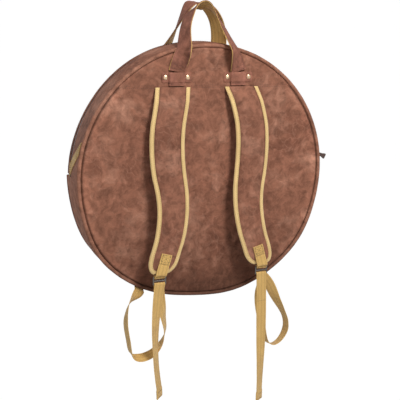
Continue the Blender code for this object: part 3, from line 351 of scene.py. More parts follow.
def tube(path, radius, ring=12, closed=False, up=(0, 0, 1)):
    """A round cord along a path, with a radius for each point or one for all."""
    path = np.array(path, float)
    radius = np.broadcast_to(radius, len(path))
    around = np.roll(path, -1, 0) - np.roll(path, 1, 0)
    tangent = unit(around if closed else np.gradient(path, axis=0))
    side = np.cross(tangent, np.array(up, float))
    flat = np.linalg.norm(side, axis=1) < 0.05
    side[flat] = np.cross(tangent[flat], (1.0, 0.3, 0.0))
    side = unit(side)
    if not closed:
        for k in range(1, len(side)):
            side[k] = unit(side[k - 1] - tangent[k] * (side[k - 1] @ tangent[k]))
    over = np.cross(side, tangent)
    turn = np.linspace(0, 2 * PI, ring, endpoint=False)
    offset = side[:, None] * np.cos(turn)[:, None] + over[:, None] * np.sin(turn)[:, None]
    verts = path[:, None] + offset * radius[:, None, None]
    rows = len(path)
    faces = grid_faces(rows, ring, 0, True, True) if closed else tube_faces(rows, ring)
    u = np.broadcast_to(turn * float(np.mean(radius)), (rows, ring))
    uvs = np.stack([u, np.broadcast_to(run_along(path)[:, None], (rows, ring))], -1)
    return verts.reshape(-1, 3), faces, uvs.reshape(-1, 2)


STITCH_SHARES = np.array([0.0, 0.14, 0.38, 0.62, 0.86, 1.0])
STITCH_LIFT = np.array([-1.0, 0.1, 0.65, 0.65, 0.1, -1.0])
STITCH_THICK = np.array([0.55, 0.95, 1.0, 1.0, 0.95, 0.55])


def stitch_line(path, normal):
    """A row of single stitches that dip into the leather at both ends of each."""
    made = sizes()
    path, normal = np.array(path, float), np.array(normal, float)
    run = run_along(path)
    count = max(1, int(run[-1] / (made.stitch + made.stitch_gap)))
    step = run[-1] / count
    rows, ring = len(STITCH_SHARES), 5
    lift, thick = STITCH_LIFT * made.thread, STITCH_THICK * made.thread
    turn = np.linspace(0, 2 * PI, ring, endpoint=False)
    verts, faces = [], []
    for k in range(count):
        at = k * step + made.stitch_gap / 2 + STITCH_SHARES * (step - made.stitch_gap)
        p, n = read_at(at, run, path), read_at(at, run, normal)
        t = p[-1] - p[0]
        t /= np.linalg.norm(t) + 1e-12
        side = np.cross(t, n)
        side /= np.linalg.norm(side, axis=1)[:, None] + 1e-12
        faces += tube_faces(rows, ring, len(verts))
        for row in range(rows):
            middle = p[row] + n[row] * lift[row]
            for angle in turn:
                spoke = side[row] * math.cos(angle) + n[row] * math.sin(angle)
                verts.append(middle + spoke * thick[row])
    return np.array(verts), faces, None


def make_stitches(name, lines, thread, body, slot, settle=False):
    if settle:
        lines = [(settled(path), normals) for path, normals in lines]
    shape = without_uvs([stitch_line(*line) for line in lines])
    return make_piece(name, shape, thread, body, smooth=180, slot=slot)


def row_across(line, k, half, count, lift, outward):
    """A row of stitches across a band at one of its steps, lifted off its middle."""
    path, side = line[:2]
    wide = np.linspace(-half, half, count)
    return [path[k] + side[k] * u * MM + outward * lift for u in wide], [outward] * count


def slack(x, z, seed=0.0):
    """Soft hollows of padded leather, from -1 to 1."""
    broad = noise.noise((x * 9 + seed, z * 9, seed))
    fine = noise.noise((x * 27, z * 27 + seed, seed + 3))
    return broad * 0.75 + fine * 0.32


def fade(value, low, high):
    """0 up to low, 1 from high on, and smooth between."""
    t = within((value - low) / (high - low))
    return t * t * (3 - 2 * t)


def quarter_fall(share):
    """How far a quarter circle has fallen at a share of its radius."""
    return 1 - math.sqrt(max(0.0, 1 - share * share))


def within(share):
    return min(1.0, max(0.0, share))


def hump(share):
    return math.sin(PI * min(1.0, share))


def thinner(outer, thickness, radius):
    share = 1 - thickness / radius
    return outer * np.array((share, 1, share))


# Materials


class Nodes:
    """Short ways to place and join shader nodes in one tree."""

    def __init__(self, tree):
        self.tree = tree
        self.start = None
        self.end = None
        if tree.bl_idname == "ShaderNodeTree" and tree.interface.items_tree:
            self.start = tree.nodes.new("NodeGroupInput")
            self.end = tree.nodes.new("NodeGroupOutput")

    def put(self, kind, values=None, **settings):
        node = self.tree.nodes.new("ShaderNode" + kind)
        for key, value in settings.items():
            setattr(node, key, value)
        for key, value in (values or {}).items():
            self.feed(value, node.inputs[key])
        return node

    def feed(self, value, socket):
        if isinstance(value, bpy.types.NodeSocket):
            self.tree.links.new(value, socket)
        else:
            socket.default_value = value

    def maths(self, operation, a, b=0.0):
        return self.put("Math", {0: a, 1: b}, operation=operation).outputs[0]

    def times(self, a, b):
        return self.maths("MULTIPLY", a, b)

    def plus(self, a, b):
        return self.maths("ADD", a, b)

    def wave(self, value):
        """Humps from 0 to 1, one for each whole step of the value."""
        return self.maths("ABSOLUTE", self.maths("SINE", self.times(value, PI)))

    def vector(self, operation, a, key, b, output=0):
        return self.put("VectorMath", {0: a, key: b}, operation=operation).outputs[output]

    def part(self, vector, axis):
        return self.put("SeparateXYZ", {0: vector}).outputs[axis]

    def noise(self, vector, scale, detail=4.0, rough=0.55):
        values = {"Vector": vector, "Scale": scale, "Detail": detail, "Roughness": rough}
        return self.put("TexNoise", values).outputs["Fac"]

    def cells(self, vector, scale, feature):
        node = self.put("TexVoronoi", {"Vector": vector, "Scale": scale}, feature=feature)
        return node.outputs["Distance"]

    def ramp(self, value, *stops):
        node = self.put("ValToRGB", {"Fac": value})
        elements = node.color_ramp.elements
        while len(elements) < len(stops):
            elements.new(0.5)
        for element, (place, level) in zip(elements, stops):
            element.position = place
            element.color = (level, level, level, 1)
        return node.outputs["Color"]

    def mix(self, factor, a, b, blend="MIX"):
        node = self.put("Mix", data_type="RGBA", blend_type=blend)
        for place, value in ((0, factor), (6, a), (7, b)):
            self.feed(value, node.inputs[place])
        return node.outputs[2]

    def stretch(self, value, low, high, to_low=0.0, to_high=1.0):
        ends = {"From Min": low, "From Max": high, "To Min": to_low, "To Max": to_high}
        return self.put("MapRange", {"Value": value, **ends}).outputs[0]

    def seen(self):
        """1 where the camera looks straight at a surface, or through metal's or glass's shine."""
        rays = self.put("LightPath").outputs
        shine = self.maths("MAXIMUM", rays["Is Glossy Ray"], rays["Is Transmission Ray"])
        return self.maths("MAXIMUM", rays["Is Camera Ray"], shine)

    def close(self, **outputs):
        for label, value in outputs.items():
            self.feed(value, self.end.inputs[label])


def new_group(name, inputs, outputs):
    """A node group that takes a vector and named numbers, and gives named numbers."""
    group = bpy.data.node_groups.new(name, "ShaderNodeTree")
    face = group.interface
    face.new_socket(name="Vector", in_out="INPUT", socket_type="NodeSocketVector")
    for label, value in inputs.items():
        socket = face.new_socket(name=label, in_out="INPUT", socket_type="NodeSocketFloat")
        socket.default_value = value
    for label in outputs:
        face.new_socket(name=label, in_out="OUTPUT", socket_type="NodeSocketFloat")
    n = Nodes(group)
    return group, n, n.start.outputs


def leather_group(name):
    """Pebbled grain, creases, and blotches of rubbed and dark leather."""
    inputs = {"Pebble": 520.0, "Blotch": 15.0, "Crease": 42.0}
    group, n, source = new_group(name, inputs, ("Rubbed", "Dark", "Vein", "Mottle", "Height"))
    vector = source["Vector"]
    wander = n.put("TexNoise", {"Vector": vector, "Scale": 24.0, "Detail": 3.0}).outputs["Color"]
    bent = n.vector("SCALE", n.vector("ADD", wander, 1, (-0.5, -0.5, -0.5)), "Scale", 0.045)
    bent = n.vector("ADD", bent, 1, vector)
    rubbed = n.ramp(n.noise(bent, source["Blotch"], 7.0, 0.66), (0.50, 0.0), (0.70, 1.0))
    dark = n.noise(vector, n.times(source["Blotch"], 0.72), 6.0, 0.62)
    dark = n.ramp(dark, (0.50, 0.0), (0.74, 1.0))
    vein = n.cells(bent, source["Crease"], "DISTANCE_TO_EDGE")
    vein = n.ramp(vein, (0.0, 1.0), (0.055, 0.0))
    vein = n.times(vein, n.ramp(n.noise(vector, 11.0, 3.0), (0.46, 0.0), (0.62, 1.0)))
    grain = n.times(n.cells(vector, source["Pebble"], "SMOOTH_F1"), -0.5)
    height = n.plus(grain, n.times(n.noise(vector, 160.0, 6.0, 0.6), 0.9))
    height = n.maths("SUBTRACT", height, n.times(vein, 0.35))
    mottle = n.stretch(n.noise(bent, 54.0, 8.0, 0.70), 0.3, 0.7)
    n.close(Rubbed=rubbed, Dark=dark, Vein=vein, Mottle=mottle, Height=height)
    return group


def weave_group(name):
    """Plain weave of a band: ribs along it and yarns across it, from its width and length."""
    inputs = {"Rib": 590.0, "Pick": 760.0}
    group, n, source = new_group(name, inputs, ("Height", "Shade", "Fuzz"))
    rib = n.times(n.part(source["Vector"], "X"), source["Rib"])
    pick = n.times(n.part(source["Vector"], "Y"), source["Pick"])
    odd = n.maths("MODULO", n.maths("ABSOLUTE", n.maths("FLOOR", rib)), 2.0)
    along = n.wave(n.plus(pick, n.times(odd, 0.5)))
    height = n.times(n.maths("POWER", n.wave(rib), 0.6), n.plus(n.times(along, 0.65), 0.35))
    fuzz = n.noise(source["Vector"], 900.0, 3.0)
    height = n.plus(height, n.times(fuzz, 0.25))
    n.close(Height=height, Shade=n.stretch(height, 0.15, 1.0), Fuzz=fuzz)
    return group


def wear_group(name):
    """Scratches and dull patches of metal and hard plastic."""
    group, n, source = new_group(name, {"Scale": 60.0}, ("Dull", "Height"))
    cloud = n.noise(source["Vector"], source["Scale"], 5.0, 0.6)
    brushed = n.put("Mapping", {"Vector": source["Vector"], "Scale": (0.2, 1.0, 3.0)}).outputs[0]
    height = n.plus(n.noise(brushed, 700.0, 3.0), n.times(cloud, 0.5))
    n.close(Dull=n.stretch(cloud, 0.35, 0.7), Height=height)
    return group


class Look(Nodes):
    """One material: its shader nodes, and the few inputs that every material here feeds."""

    def __init__(self, name):
        self.material = bpy.data.materials.new(name)
        self.material.use_nodes = True
        super().__init__(self.material.node_tree)
        self.inputs = self.tree.nodes["Principled BSDF"].inputs
        coordinates = self.put("TexCoord").outputs
        self.place, self.flat = coordinates["Object"], coordinates["UV"]

    def group(self, make, **values):
        name = "Bag " + make.__name__.split("_")[0]
        node = self.put("Group")
        node.node_tree = bpy.data.node_groups.get(name) or make(name)
        for key, value in values.items():
            self.feed(value, node.inputs[key])
        return node.outputs

    def surface(self, tone, rough, height, strength, distance, **others):
        """Feeds colour, roughness and bump, and other inputs by their names in small letters."""
        self.feed(tone, self.inputs["Base Color"])
        self.feed(rough, self.inputs["Roughness"])
        bump = self.put("Bump", {"Height": height, "Strength": strength, "Distance": distance})
        self.feed(bump.outputs[0], self.inputs["Normal"])
        for key, value in others.items():
            self.inputs[key.replace("_", " ").title().replace("Ior", "IOR")].default_value = value
        return self.material


def scaled(tone, share):
    return [min(1.0, c * share) for c in tone[:3]] + [1.0]


def handling(n):
    """Darker leather towards the foot, where the bag is set down, and lighter round its waist."""
    share = n.stretch(n.part(n.place, "Z"), -0.70, -0.10)
    return n.ramp(share, (0.07, 0.40), (0.17, 0.70), (0.33, 0.86), (0.50, 1.0), (0.72, 0.93))


def seam_shade(n, kind):
    """Dirt in the seam and a rubbed fold beside it, round a rim or along a pad's edges."""
    # Along a pad: painted shade on the leather next to the tape's inner edge.
    if kind == "edge":
        across = n.maths("ABSOLUTE", n.part(n.flat, "X"))
        share = n.stretch(across, 22 * MM, 34 * MM)
        return n.ramp(share, (0.0, 0.80), (0.35, 0.82), (0.78, 0.46))
    # Round a rim: painted highlight on the rolled edge, then painted shade in the seam.
    reach = n.put("VectorMath", {0: n.flat}, operation="LENGTH").outputs["Value"]
    share = n.stretch(reach, RIM - 23 * MM, RIM + 2 * MM)
    ring = n.ramp(share, (0.0, 0.80), (0.42, 1.0), (0.68, 1.0), (0.82, 0.40))
    # Towards the foot the rim's painted light and shade mostly give way to an even painted shade.
    above_foot = n.stretch(n.part(n.place, "Z"), -0.66, -0.56, 0.3, 1.0)
    return n.mix(above_foot, (0.72, 0.72, 0.72, 1), ring)


def leather_material(name, tones, blotch=15.0, pebble=520.0, depth=0.35, handled=False,
                     seam=None):
    """Grained leather, darker where it is handled and in the seam of its kind."""
    n = Look(name)
    skin = n.group(leather_group, Vector=n.place, Blotch=blotch, Pebble=pebble)
    main, pale, dark = tones
    tone = n.mix(skin["Rubbed"], main, pale)
    tone = n.mix(n.times(skin["Dark"], 0.72), tone, dark)
    tone = n.mix(n.times(skin["Vein"], 0.34), tone, pale)
    shade = n.stretch(skin["Mottle"], 0.0, 1.0, 0.52, 1.40)
    # Painted shade towards the foot and painted light round the waist.
    if handled:
        shade = n.times(n.times(shade, 1.12), handling(n))
    # Painted light and shade at the seam of this kind.
    if seam:
        shade = n.times(n.times(shade, 1.25), seam_shade(n, seam))
    grey = n.put("CombineColor", {0: shade, 1: shade, 2: shade}).outputs[0]
    tone = n.mix(1.0, tone, grey, "MULTIPLY")
    rough = n.stretch(skin["Height"], 0.0, 0.7, 0.78, 0.58)
    return n.surface(tone, rough, skin["Height"], depth, 0.0009, specular_ior_level=0.10)


def webbing_material(name, bright, shade, rib=590.0, pick=760.0, stripe=0.0085):
    n = Look(name)
    yarn = n.group(weave_group, Vector=n.flat, Rib=rib, Pick=pick)
    tone = n.mix(yarn["Shade"], shade, bright)
    tone = n.mix(n.stretch(n.noise(n.place, 30.0), 0.35, 0.75, 0.0, 0.35), tone, shade)
    # Dark lengthwise cord lines; on the tape one falls on its inner edge: painted shade there.
    cord = n.wave(n.times(n.part(n.flat, "X"), 1 / stripe))
    tone = n.mix(n.stretch(cord, 0.0, 0.6, 0.5, 0.0), tone, shade)
    rough = n.stretch(yarn["Fuzz"], 0.3, 0.7, 0.72, 0.9)
    return n.surface(tone, rough, yarn["Height"], 0.55, 0.0006,
                     sheen_weight=0.25, sheen_roughness=0.5, specular_ior_level=0.25)


def cloth_material(name, tone, rib=900.0):
    n = Look(name)
    yarn = n.group(weave_group, Vector=n.flat, Rib=rib, Pick=rib)
    rough = n.stretch(yarn["Fuzz"], 0.3, 0.7, 0.8, 0.95)
    tone = n.mix(yarn["Shade"], tone, scaled(tone, 2.4))
    return n.surface(tone, rough, yarn["Height"], 0.4, 0.0005, sheen_weight=0.15)


def hard_material(name, tone, roughness, scale, worn, strength, metallic):
    """Metal or plastic that is duller and of another tone where it is worn."""
    n = Look(name)
    wear = n.group(wear_group, Vector=n.place, Scale=scale)
    rough = n.stretch(wear["Dull"], 0.0, 1.0, *roughness)
    tone = n.mix(wear["Dull"], tone, scaled(tone, worn))
    return n.surface(tone, rough, wear["Height"], strength, 0.0004, metallic=metallic)


def metal_material(name, tone, roughness=(0.22, 0.42), scale=60.0):
    return hard_material(name, tone, roughness, scale, 0.62, 0.12, 1.0)


def plastic_material(name, tone):
    return hard_material(name, tone, (0.38, 0.6), 90.0, 1.7, 0.2, 0.0)


def thread_material(name, tone):
    n = Look(name)
    twist = n.noise(n.place, 1500.0, 2.0)
    return n.surface(n.mix(twist, scaled(tone, 0.55), tone), 0.62, twist, 0.4, 0.0003)


def looks():
    """Each look's slot, and the maker of its material with what it is given."""
    c = colours()
    main, pale, dark = c.leather[:], c.leather_pale[:], c.leather_dark[:]
    tones = (main, pale, dark)
    # A paler tone for the back piping: a painted highlight along its round.
    welt = (scaled(main, 0.7)[:3], scaled(pale, 0.3)[:3])
    welt = [a + b for a, b in zip(*welt)] + [1.0]
    strap_tones = (c.strap_leather[:], main, dark)
    # Painted shade towards the foot on these leathers, and painted seam light and shade on panels
    # and pads.
    handled, rimmed = {"handled": True}, {"handled": True, "seam": "rim"}
    rib = 1 / sizes().webbing_rib
    return {
        "Brown leather": ("brown_leather", leather_material, (tones,), handled),
        "Panel leather": ("brown_leather", leather_material, (tones,), rimmed),
        # Painted highlight on the back piping, painted shade on the front and lid piping.
        "Welt leather": ("brown_leather", leather_material, ((welt, pale, main),), handled),
        "Dark welt leather": ("brown_leather", leather_material, ((dark, main, dark),), handled),
        # Painted shade beside the tape on the pads.
        "Pad leather": ("brown_leather", leather_material, (tones,), {"seam": "edge"}),
        "Handle leather": ("handle_leather", leather_material,
                           (strap_tones, 22.0, 620.0, 0.3), {}),
        "Tan webbing": ("tan_webbing", webbing_material,
                        (c.webbing[:], c.webbing_dark[:], rib), {}),
        "Tan binding": ("tan_binding", webbing_material,
                        (c.binding[:], c.binding_dark[:], 900.0, 900.0), {}),
        "Dark lining": ("dark_lining", cloth_material, (c.lining[:],), {}),
        "Pad underside cloth": ("dark_lining", cloth_material, (c.mesh_cloth[:], 420.0), {}),
        "Zip tape": ("zip_tape", cloth_material, (c.zip_tape[:], 1300.0), {}),
        "Zip teeth": ("zip_tape", plastic_material, (c.zip_tape[:],), {}),
        "Brown thread": ("brown_leather", thread_material, (c.thread[:],), {}),
        "Tan thread": ("tan_webbing", thread_material, (c.tan_thread[:],), {}),
        "Dark steel": ("dark_steel", metal_material, (c.steel[:],), {}),
        "Copper rivet": ("copper_rivet", metal_material, (c.rivet[:], (0.16, 0.34), 240.0), {}),
        "Dark pull": ("dark_pull", plastic_material, (c.pull[:],), {}),
    }


def material_for(look):
    _, make, values, choices = looks()[look]
    return bpy.data.materials.get(look) or make(look, *values, **choices)


# The round body


def disc_grid(rim, turns, columns, level):
    """Places over the part of a disc that a run of turns covers, level giving each one's y."""
    grid = np.zeros((len(turns), columns, 3))
    for i, a in enumerate(turns):
        z, chord = rim * math.sin(a), rim * math.cos(a)
        for j, share in enumerate(np.sin(np.linspace(-PI / 2, PI / 2, columns))):
            grid[i, j] = (chord * share, level(chord * share, z), z)
    return grid


def round_sheet(side, rim, low, high, face, lift, thickness, roll=7 * MM, rows=90, columns=110):
    """A round sheet cut along two level lines. Its rim rolls in, and lift shapes its face."""
    def level(x, z):
        edge = within((math.hypot(x, z) - rim + roll) / roll) if roll else 0.0
        return side * (face + lift(x, z) * (1 - edge) - 4 * MM * quarter_fall(edge))

    ends = [math.asin(max(-0.9999, min(0.9999, end / rim))) for end in (low, high)]
    outer = disc_grid(rim, np.linspace(*ends, rows), columns, level)
    inner = outer.copy()
    inner[..., 1] -= side * thickness
    if roll:
        inner[..., 0] *= 1 - 0.6 * thickness / rim
    return closed_sheet(outer, inner, outer[..., (0, 2)])


def clear_of_rim(radius):
    return 1 - math.exp(-((RIM - radius) / (16 * MM)) ** 2)


def back_relief(x, z):
    """Crown and slack of the back, still under the tabs, the yoke and the tops of the pads."""
    made = sizes()
    radius = math.hypot(x, z)
    angle = math.atan2(z, x)
    calm = 1 - fade(z, 120 * MM, 180 * MM)
    gather = noise.noise((math.cos(angle) * 9, math.sin(angle) * 9, 1.7))
    gather *= math.exp(-(RIM - radius) / (13 * MM))
    height = made.crown * (1 - (radius / RIM) ** 2) * calm
    height += made.ruffle * slack(x, z, 4.2) * clear_of_rim(radius) * (0.12 + 0.88 * calm)
    return height + 2 * made.pucker * gather * calm


def front_relief(x, z):
    """Slack of the front, still under the pocket, the tabs and the lid's hinge line."""
    radius = math.hypot(x, z)
    under_pocket = 1.0
    if z < POCKET_TOP + 12 * MM:
        under_pocket = fade(radius, POCKET_RIM - 4 * MM, POCKET_RIM + 10 * MM)
    under_tabs = 1 - fade(z, 150 * MM, 195 * MM)
    loose = sizes().ruffle * slack(x, z, 11.5) * clear_of_rim(radius) * under_pocket
    return loose * (0.1 + 0.9 * under_tabs) * fade(abs(z), 0.0, 30 * MM)


def level_row(x, z, flip, relief):
    """A level row of stitches on one of the round faces."""
    path = np.stack([x, [flip * (FACE + relief(v, z)) for v in x], np.full(len(x), z)], 1)
    return path, np.tile((0.0, flip, 0.0), (len(x), 1))


def make_back():
    """Make the back, its yoke and its lining."""
    low, high = YOKE_SEAM - 0.15 * MM, YOKE_SEAM + 0.15 * MM
    for name, look, start, end, rows, nodes in (
        ("back_cover", "Panel leather", -RIM, low, 90, ("back_panel", "back_foam")),
        ("yoke_cover", "Brown leather", high, RIM, 44, ("back_yoke",)),
    ):
        sheet = round_sheet(-1, RIM, start, end, FACE, back_relief, LEATHER, rows=rows)
        make_piece(name, sheet, look, "bag", nodes, settle=name == "back_cover")
    lines = []
    for drop in (2.6, -2.6):
        z = YOKE_SEAM + drop * MM
        half = math.sqrt((RIM - 9 * MM) ** 2 - z * z)
        for start, end in ((-half, -0.124), (-0.039, 0.039), (0.124, half)):
            lines.append(level_row(np.linspace(start, end, 40), z, -1.0, back_relief))
    make_stitches("yoke_stitches", lines, "Brown thread", "bag", "brown_leather")
    make_lining("back_lining_cloth", -1, -RIM, RIM, "bag", "back_lining")


def make_lining(name, side, low, high, body, node):
    rim, face = RIM - 7.3 * MM, FACE - 9.2 * MM
    low, high = low * rim / RIM, high * rim / RIM
    sheet = round_sheet(side, rim, low, high, face, lambda x, z: 0.3 * MM * slack(x, z, 2.0),
                        1 * MM, 0, 50, 60)
    cloth = make_piece(name, sheet, "Dark lining", body, (node,), settle=True)
    flat_area(rim, low, high)


def flat_area(rim, low, high):
    """The area of a disc between two level lines."""
    def below(z):
        z = max(-rim, min(rim, z))
        return z * math.sqrt(max(0.0, rim * rim - z * z)) + rim * rim * math.asin(z / rim)

    return below(high) - below(low)


def band_point(angle, radius, y):
    return (radius * math.cos(angle), y, radius * math.sin(angle))


def gusset_swell(angle, y):
    """The padded gusset stands out between its seams, with soft cross folds."""
    share = max(0.0, 1 - (y / GUSSET_EDGE) ** 2)
    under = fade(-math.sin(angle), -0.05, 0.25)
    crest = fade(math.sin(angle), 0.35, 0.9)
    folds = noise.noise((math.cos(angle) * 7.5, math.sin(angle) * 7.5, y * 14))
    folds *= 0.9 * MM * (0.25 + 0.75 * under)
    return share * (1.6 * MM * under + 4.0 * MM * crest + folds)


def no_swell(angle, y):
    return 0.0


def band_sheet(start, end, low, high, radius, thickness, swell, columns=22):
    """A sheet bent round the bag's axis, from one angle to another."""
    angles = np.linspace(start, end, max(8, int((end - start) / (2 * PI) * 300)))
    levels = np.linspace(low, high, columns)
    outer = [[band_point(a, radius + swell(a, y), y) for y in levels] for a in angles]
    outer = np.array(outer)
    uv = np.array([[(a * radius, y) for y in levels] for a in angles])
    return closed_sheet(outer, thinner(outer, thickness, radius), uv)


def make_gusset():
    """Make the gusset and its padding, and the lid's strip of it."""
    lip, foam = 7.2 * MM, 8 * MM
    zip_low, zip_high = ZIP_MIDDLE - lip, ZIP_MIDDLE + lip
    outside, inside = (BODY_RADIUS, LEATHER), (BODY_RADIUS - LEATHER - 0.3 * MM, foam)
    cover = join_parts([
        band_sheet(-PI, 0.0, -GUSSET_EDGE, GUSSET_EDGE, *outside, gusset_swell, 26),
        band_sheet(0.0, PI, -GUSSET_EDGE, zip_low, *outside, gusset_swell),
    ])
    make_piece("gusset_cover", cover, "Brown leather", "bag", ("gusset",), settle=True)
    strip = band_sheet(0.004, PI - 0.004, zip_high, GUSSET_EDGE, *outside, gusset_swell, 8)
    make_piece("lid_band", strip, "Brown leather", "lid", ("lid_gusset",), settle=True)
    lining = join_parts([
        band_sheet(-PI, 0.0, -GUSSET_EDGE, GUSSET_EDGE, *inside, no_swell, 14),
        band_sheet(0.0, PI, -GUSSET_EDGE, ZIP_MIDDLE - 19.3 * MM, *inside, no_swell, 10),
    ])
    make_piece("gusset_lining", lining, "Dark lining", "bag", ("gusset_padding",), settle=True)
    turn = np.linspace(0.02, PI - 0.02, 260)
    normal = [band_point(a, 1.0, 0.0) for a in turn]
    for body, part, y in (("bag", "body", zip_low - 2.4 * MM), ("lid", "lid", zip_high + 2.4 * MM)):
        path = [band_point(a, BODY_RADIUS + gusset_swell(a, y), y) for a in turn]
        make_stitches("zip_" + part + "_edge_stitches", [(path, normal)], "Brown thread", body,
                      "brown_leather", True)


def make_welts():
    """Make the piping in the round seams, with small swellings between its stitches."""
    half = 0.007
    reach = BODY_RADIUS + 1.4 * MM - sizes().welt
    # Painted highlight on the back piping, painted shade on the front and lid piping.
    for name, side, start, end, body, node, look in (
        ("back_welt", -1, 0.0, 2 * PI, "bag", "back_piping", "Welt leather"),
        ("front_welt", 1, half - PI, -half, "bag", "front_piping", "Dark welt leather"),
        ("lid_welt", 1, half, PI - half, "lid", "lid_piping", "Dark welt leather"),
    ):
        whole = side < 0
        count = int(360 * abs(end - start) / (2 * PI))
        turn = np.linspace(start, end, count, endpoint=not whole)
        path = np.array([band_point(a, reach, side * (SEAM + 0.4 * MM)) for a in turn])
        radius = [sizes().welt * (0.98 + 0.05 * noise.noise(Vector(p) * 60)) for p in path]
        shape = tube(path, radius, 14, whole, up=(0, 1, 0))
        make_piece(name, shape, look, body, (node,), smooth=180, settle=True)


def make_front():
    """Make the front, the lid and their linings."""
    gap = 0.3 * MM
    for body, part, low, high in (("bag", "front", -RIM, -gap), ("lid", "lid", gap, RIM)):
        sheet = round_sheet(1, RIM, low, high, FACE, front_relief, LEATHER, rows=70)
        nodes = (part + "_panel", part + "_foam")
        make_piece(part + "_cover", sheet, "Panel leather", body, nodes, settle=True)
    x = np.linspace(9 * MM - RIM, RIM - 9 * MM, 120)
    for body, z in (("bag", -4 * MM), ("lid", 4 * MM)):
        line = level_row(x, z, 1.0, front_relief)
        make_stitches(body + "_hinge_stitches", [line], "Brown thread", body, "brown_leather")
    make_lining("front_lining_cloth", 1, -RIM, -gap, "bag", "front_lining")
    make_lining("lid_lining_cloth", 1, gap, RIM, "lid", "lid_lining")


def make_dividers():
    """Make the padded dividers: cloth over thin foam, swollen between their sewn edges."""
    radius, top = 284.8 * MM, 120 * MM
    turns = np.linspace(-PI / 2 * 0.995, math.asin(top / radius), 60)
    for name, place in (("rear", -14 * MM), ("front", 14 * MM)):
        def half(x, z):
            edge = min(radius - math.hypot(x, z), top - z)
            swell = 0.35 + 0.65 * fade(edge, 0.0, 14 * MM)
            return 2.5 * MM * swell * (1 - 0.04 * slack(x, z, place))

        rear = disc_grid(radius, turns, 64, lambda x, z: place - half(x, z))
        front = disc_grid(radius, turns, 64, lambda x, z: place + half(x, z))
        shape = closed_sheet(rear, front, rear[..., (0, 2)])
        make_piece(name + "_padded_divider", shape, "Dark lining", "bag", (name + "_divider",),
                   settle=True)


# The main zip


def tooth(angle, side, radius):
    """One moulded tooth, with a rounded head that reaches past the middle of the zip."""
    t = np.array((-math.sin(angle), 0, math.cos(angle)))
    r = np.array((math.cos(angle), 0, math.sin(angle)))
    y = np.array((0, 1.0, 0))
    half = ((-4.6, 0.55), (-1.2, 0.62), (0.2, 1.05), (1.2, 0.8))
    outline = half + ((1.5, 0.0),) + tuple((a, -b) for a, b in reversed(half))
    verts = []
    for level, shrink in ((-1.15, 0.8), (-0.85, 1.0), (0.85, 1.0), (1.15, 0.8)):
        for along, across in outline:
            sideways = ZIP_MIDDLE - side * along * shrink * MM
            verts.append(r * (radius + level * MM) + y * sideways + t * across * shrink * MM)
    return verts, block_faces(4, len(outline)), None


def block_faces(rows, ring):
    """A tube of rings closed with two ends that run the same way round."""
    last = ring * (rows - 1)
    ends = [tuple(range(ring)), tuple(range(last, last + ring))]
    return grid_faces(rows, ring, round_columns=True) + ends


def make_zip():
    """Make the zip's tapes and teeth."""
    pitch = sizes().tooth_pitch / ZIP_RING
    count = int((PI - 0.02) / pitch)
    for name, side, body in (("zip_body_side", 1, "bag"), ("zip_lid_side", -1, "lid")):
        ends = sorted((ZIP_MIDDLE - side * 2.2 * MM, ZIP_MIDDLE - side * 19 * MM))
        tape = band_sheet(0.004, PI - 0.004, *ends, ZIP_RING + 0.5 * MM, 1.1 * MM, no_swell, 6)
        make_piece(name + "_tape", tape, "Zip tape", body, (name,))
        shift = 0.5 if side < 0 else 0.0
        teeth = [tooth(0.01 + (k + shift) * pitch, side, ZIP_RING) for k in range(count)]
        make_piece(name + "_teeth", without_uvs(teeth), "Zip teeth", body, smooth=50)


def slider_frame(points):
    """From the slider's own frame (outward, across, along) to where it rests on the zip."""
    turn = math.radians(8)
    out = np.array((math.cos(turn), 0, math.sin(turn)))
    along = np.array((-math.sin(turn), 0, math.cos(turn)))
    p = np.array(points, float)
    return p[:, :1] * out + p[:, 1:2] * (0, 1.0, 0) + (0, ZIP_MIDDLE, 0) + p[:, 2:3] * along


def bulge(turn, power):
    """Cosine and sine with their sizes raised to a power, which squares a circle's corners."""
    c, s = math.cos(turn), math.sin(turn)
    return math.copysign(abs(c) ** power, c), math.copysign(abs(s) ** power, s)


def slider_plate(low, high):
    outline, ring = [], 32
    for k in range(ring):
        turn = 2 * PI * k / ring
        along = 8 * MM * bulge(turn, 0.55)[1]
        wide = (6 - 1.3 * fade(along, -2 * MM, 8 * MM)) * MM
        outline.append((wide * bulge(turn, 0.5)[0], along))
    verts, soft = [], 0.35 * MM
    for level, shrink in ((low, 0.90), (low + soft, 1.0), (high - soft, 1.0), (high, 0.90)):
        verts += [(level, a * shrink, b * shrink) for a, b in outline]
    return slider_frame(verts), block_faces(4, ring), None


GRIP_PROFILE = (
    (0.0, 0.72, 0.82), (0.05, 0.9, 1.0), (0.25, 1.0, 1.0), (0.5, 1.12, 0.9),
    (0.78, 1.62, 0.86), (0.93, 1.74, 0.8), (1.0, 1.5, 0.55),
)


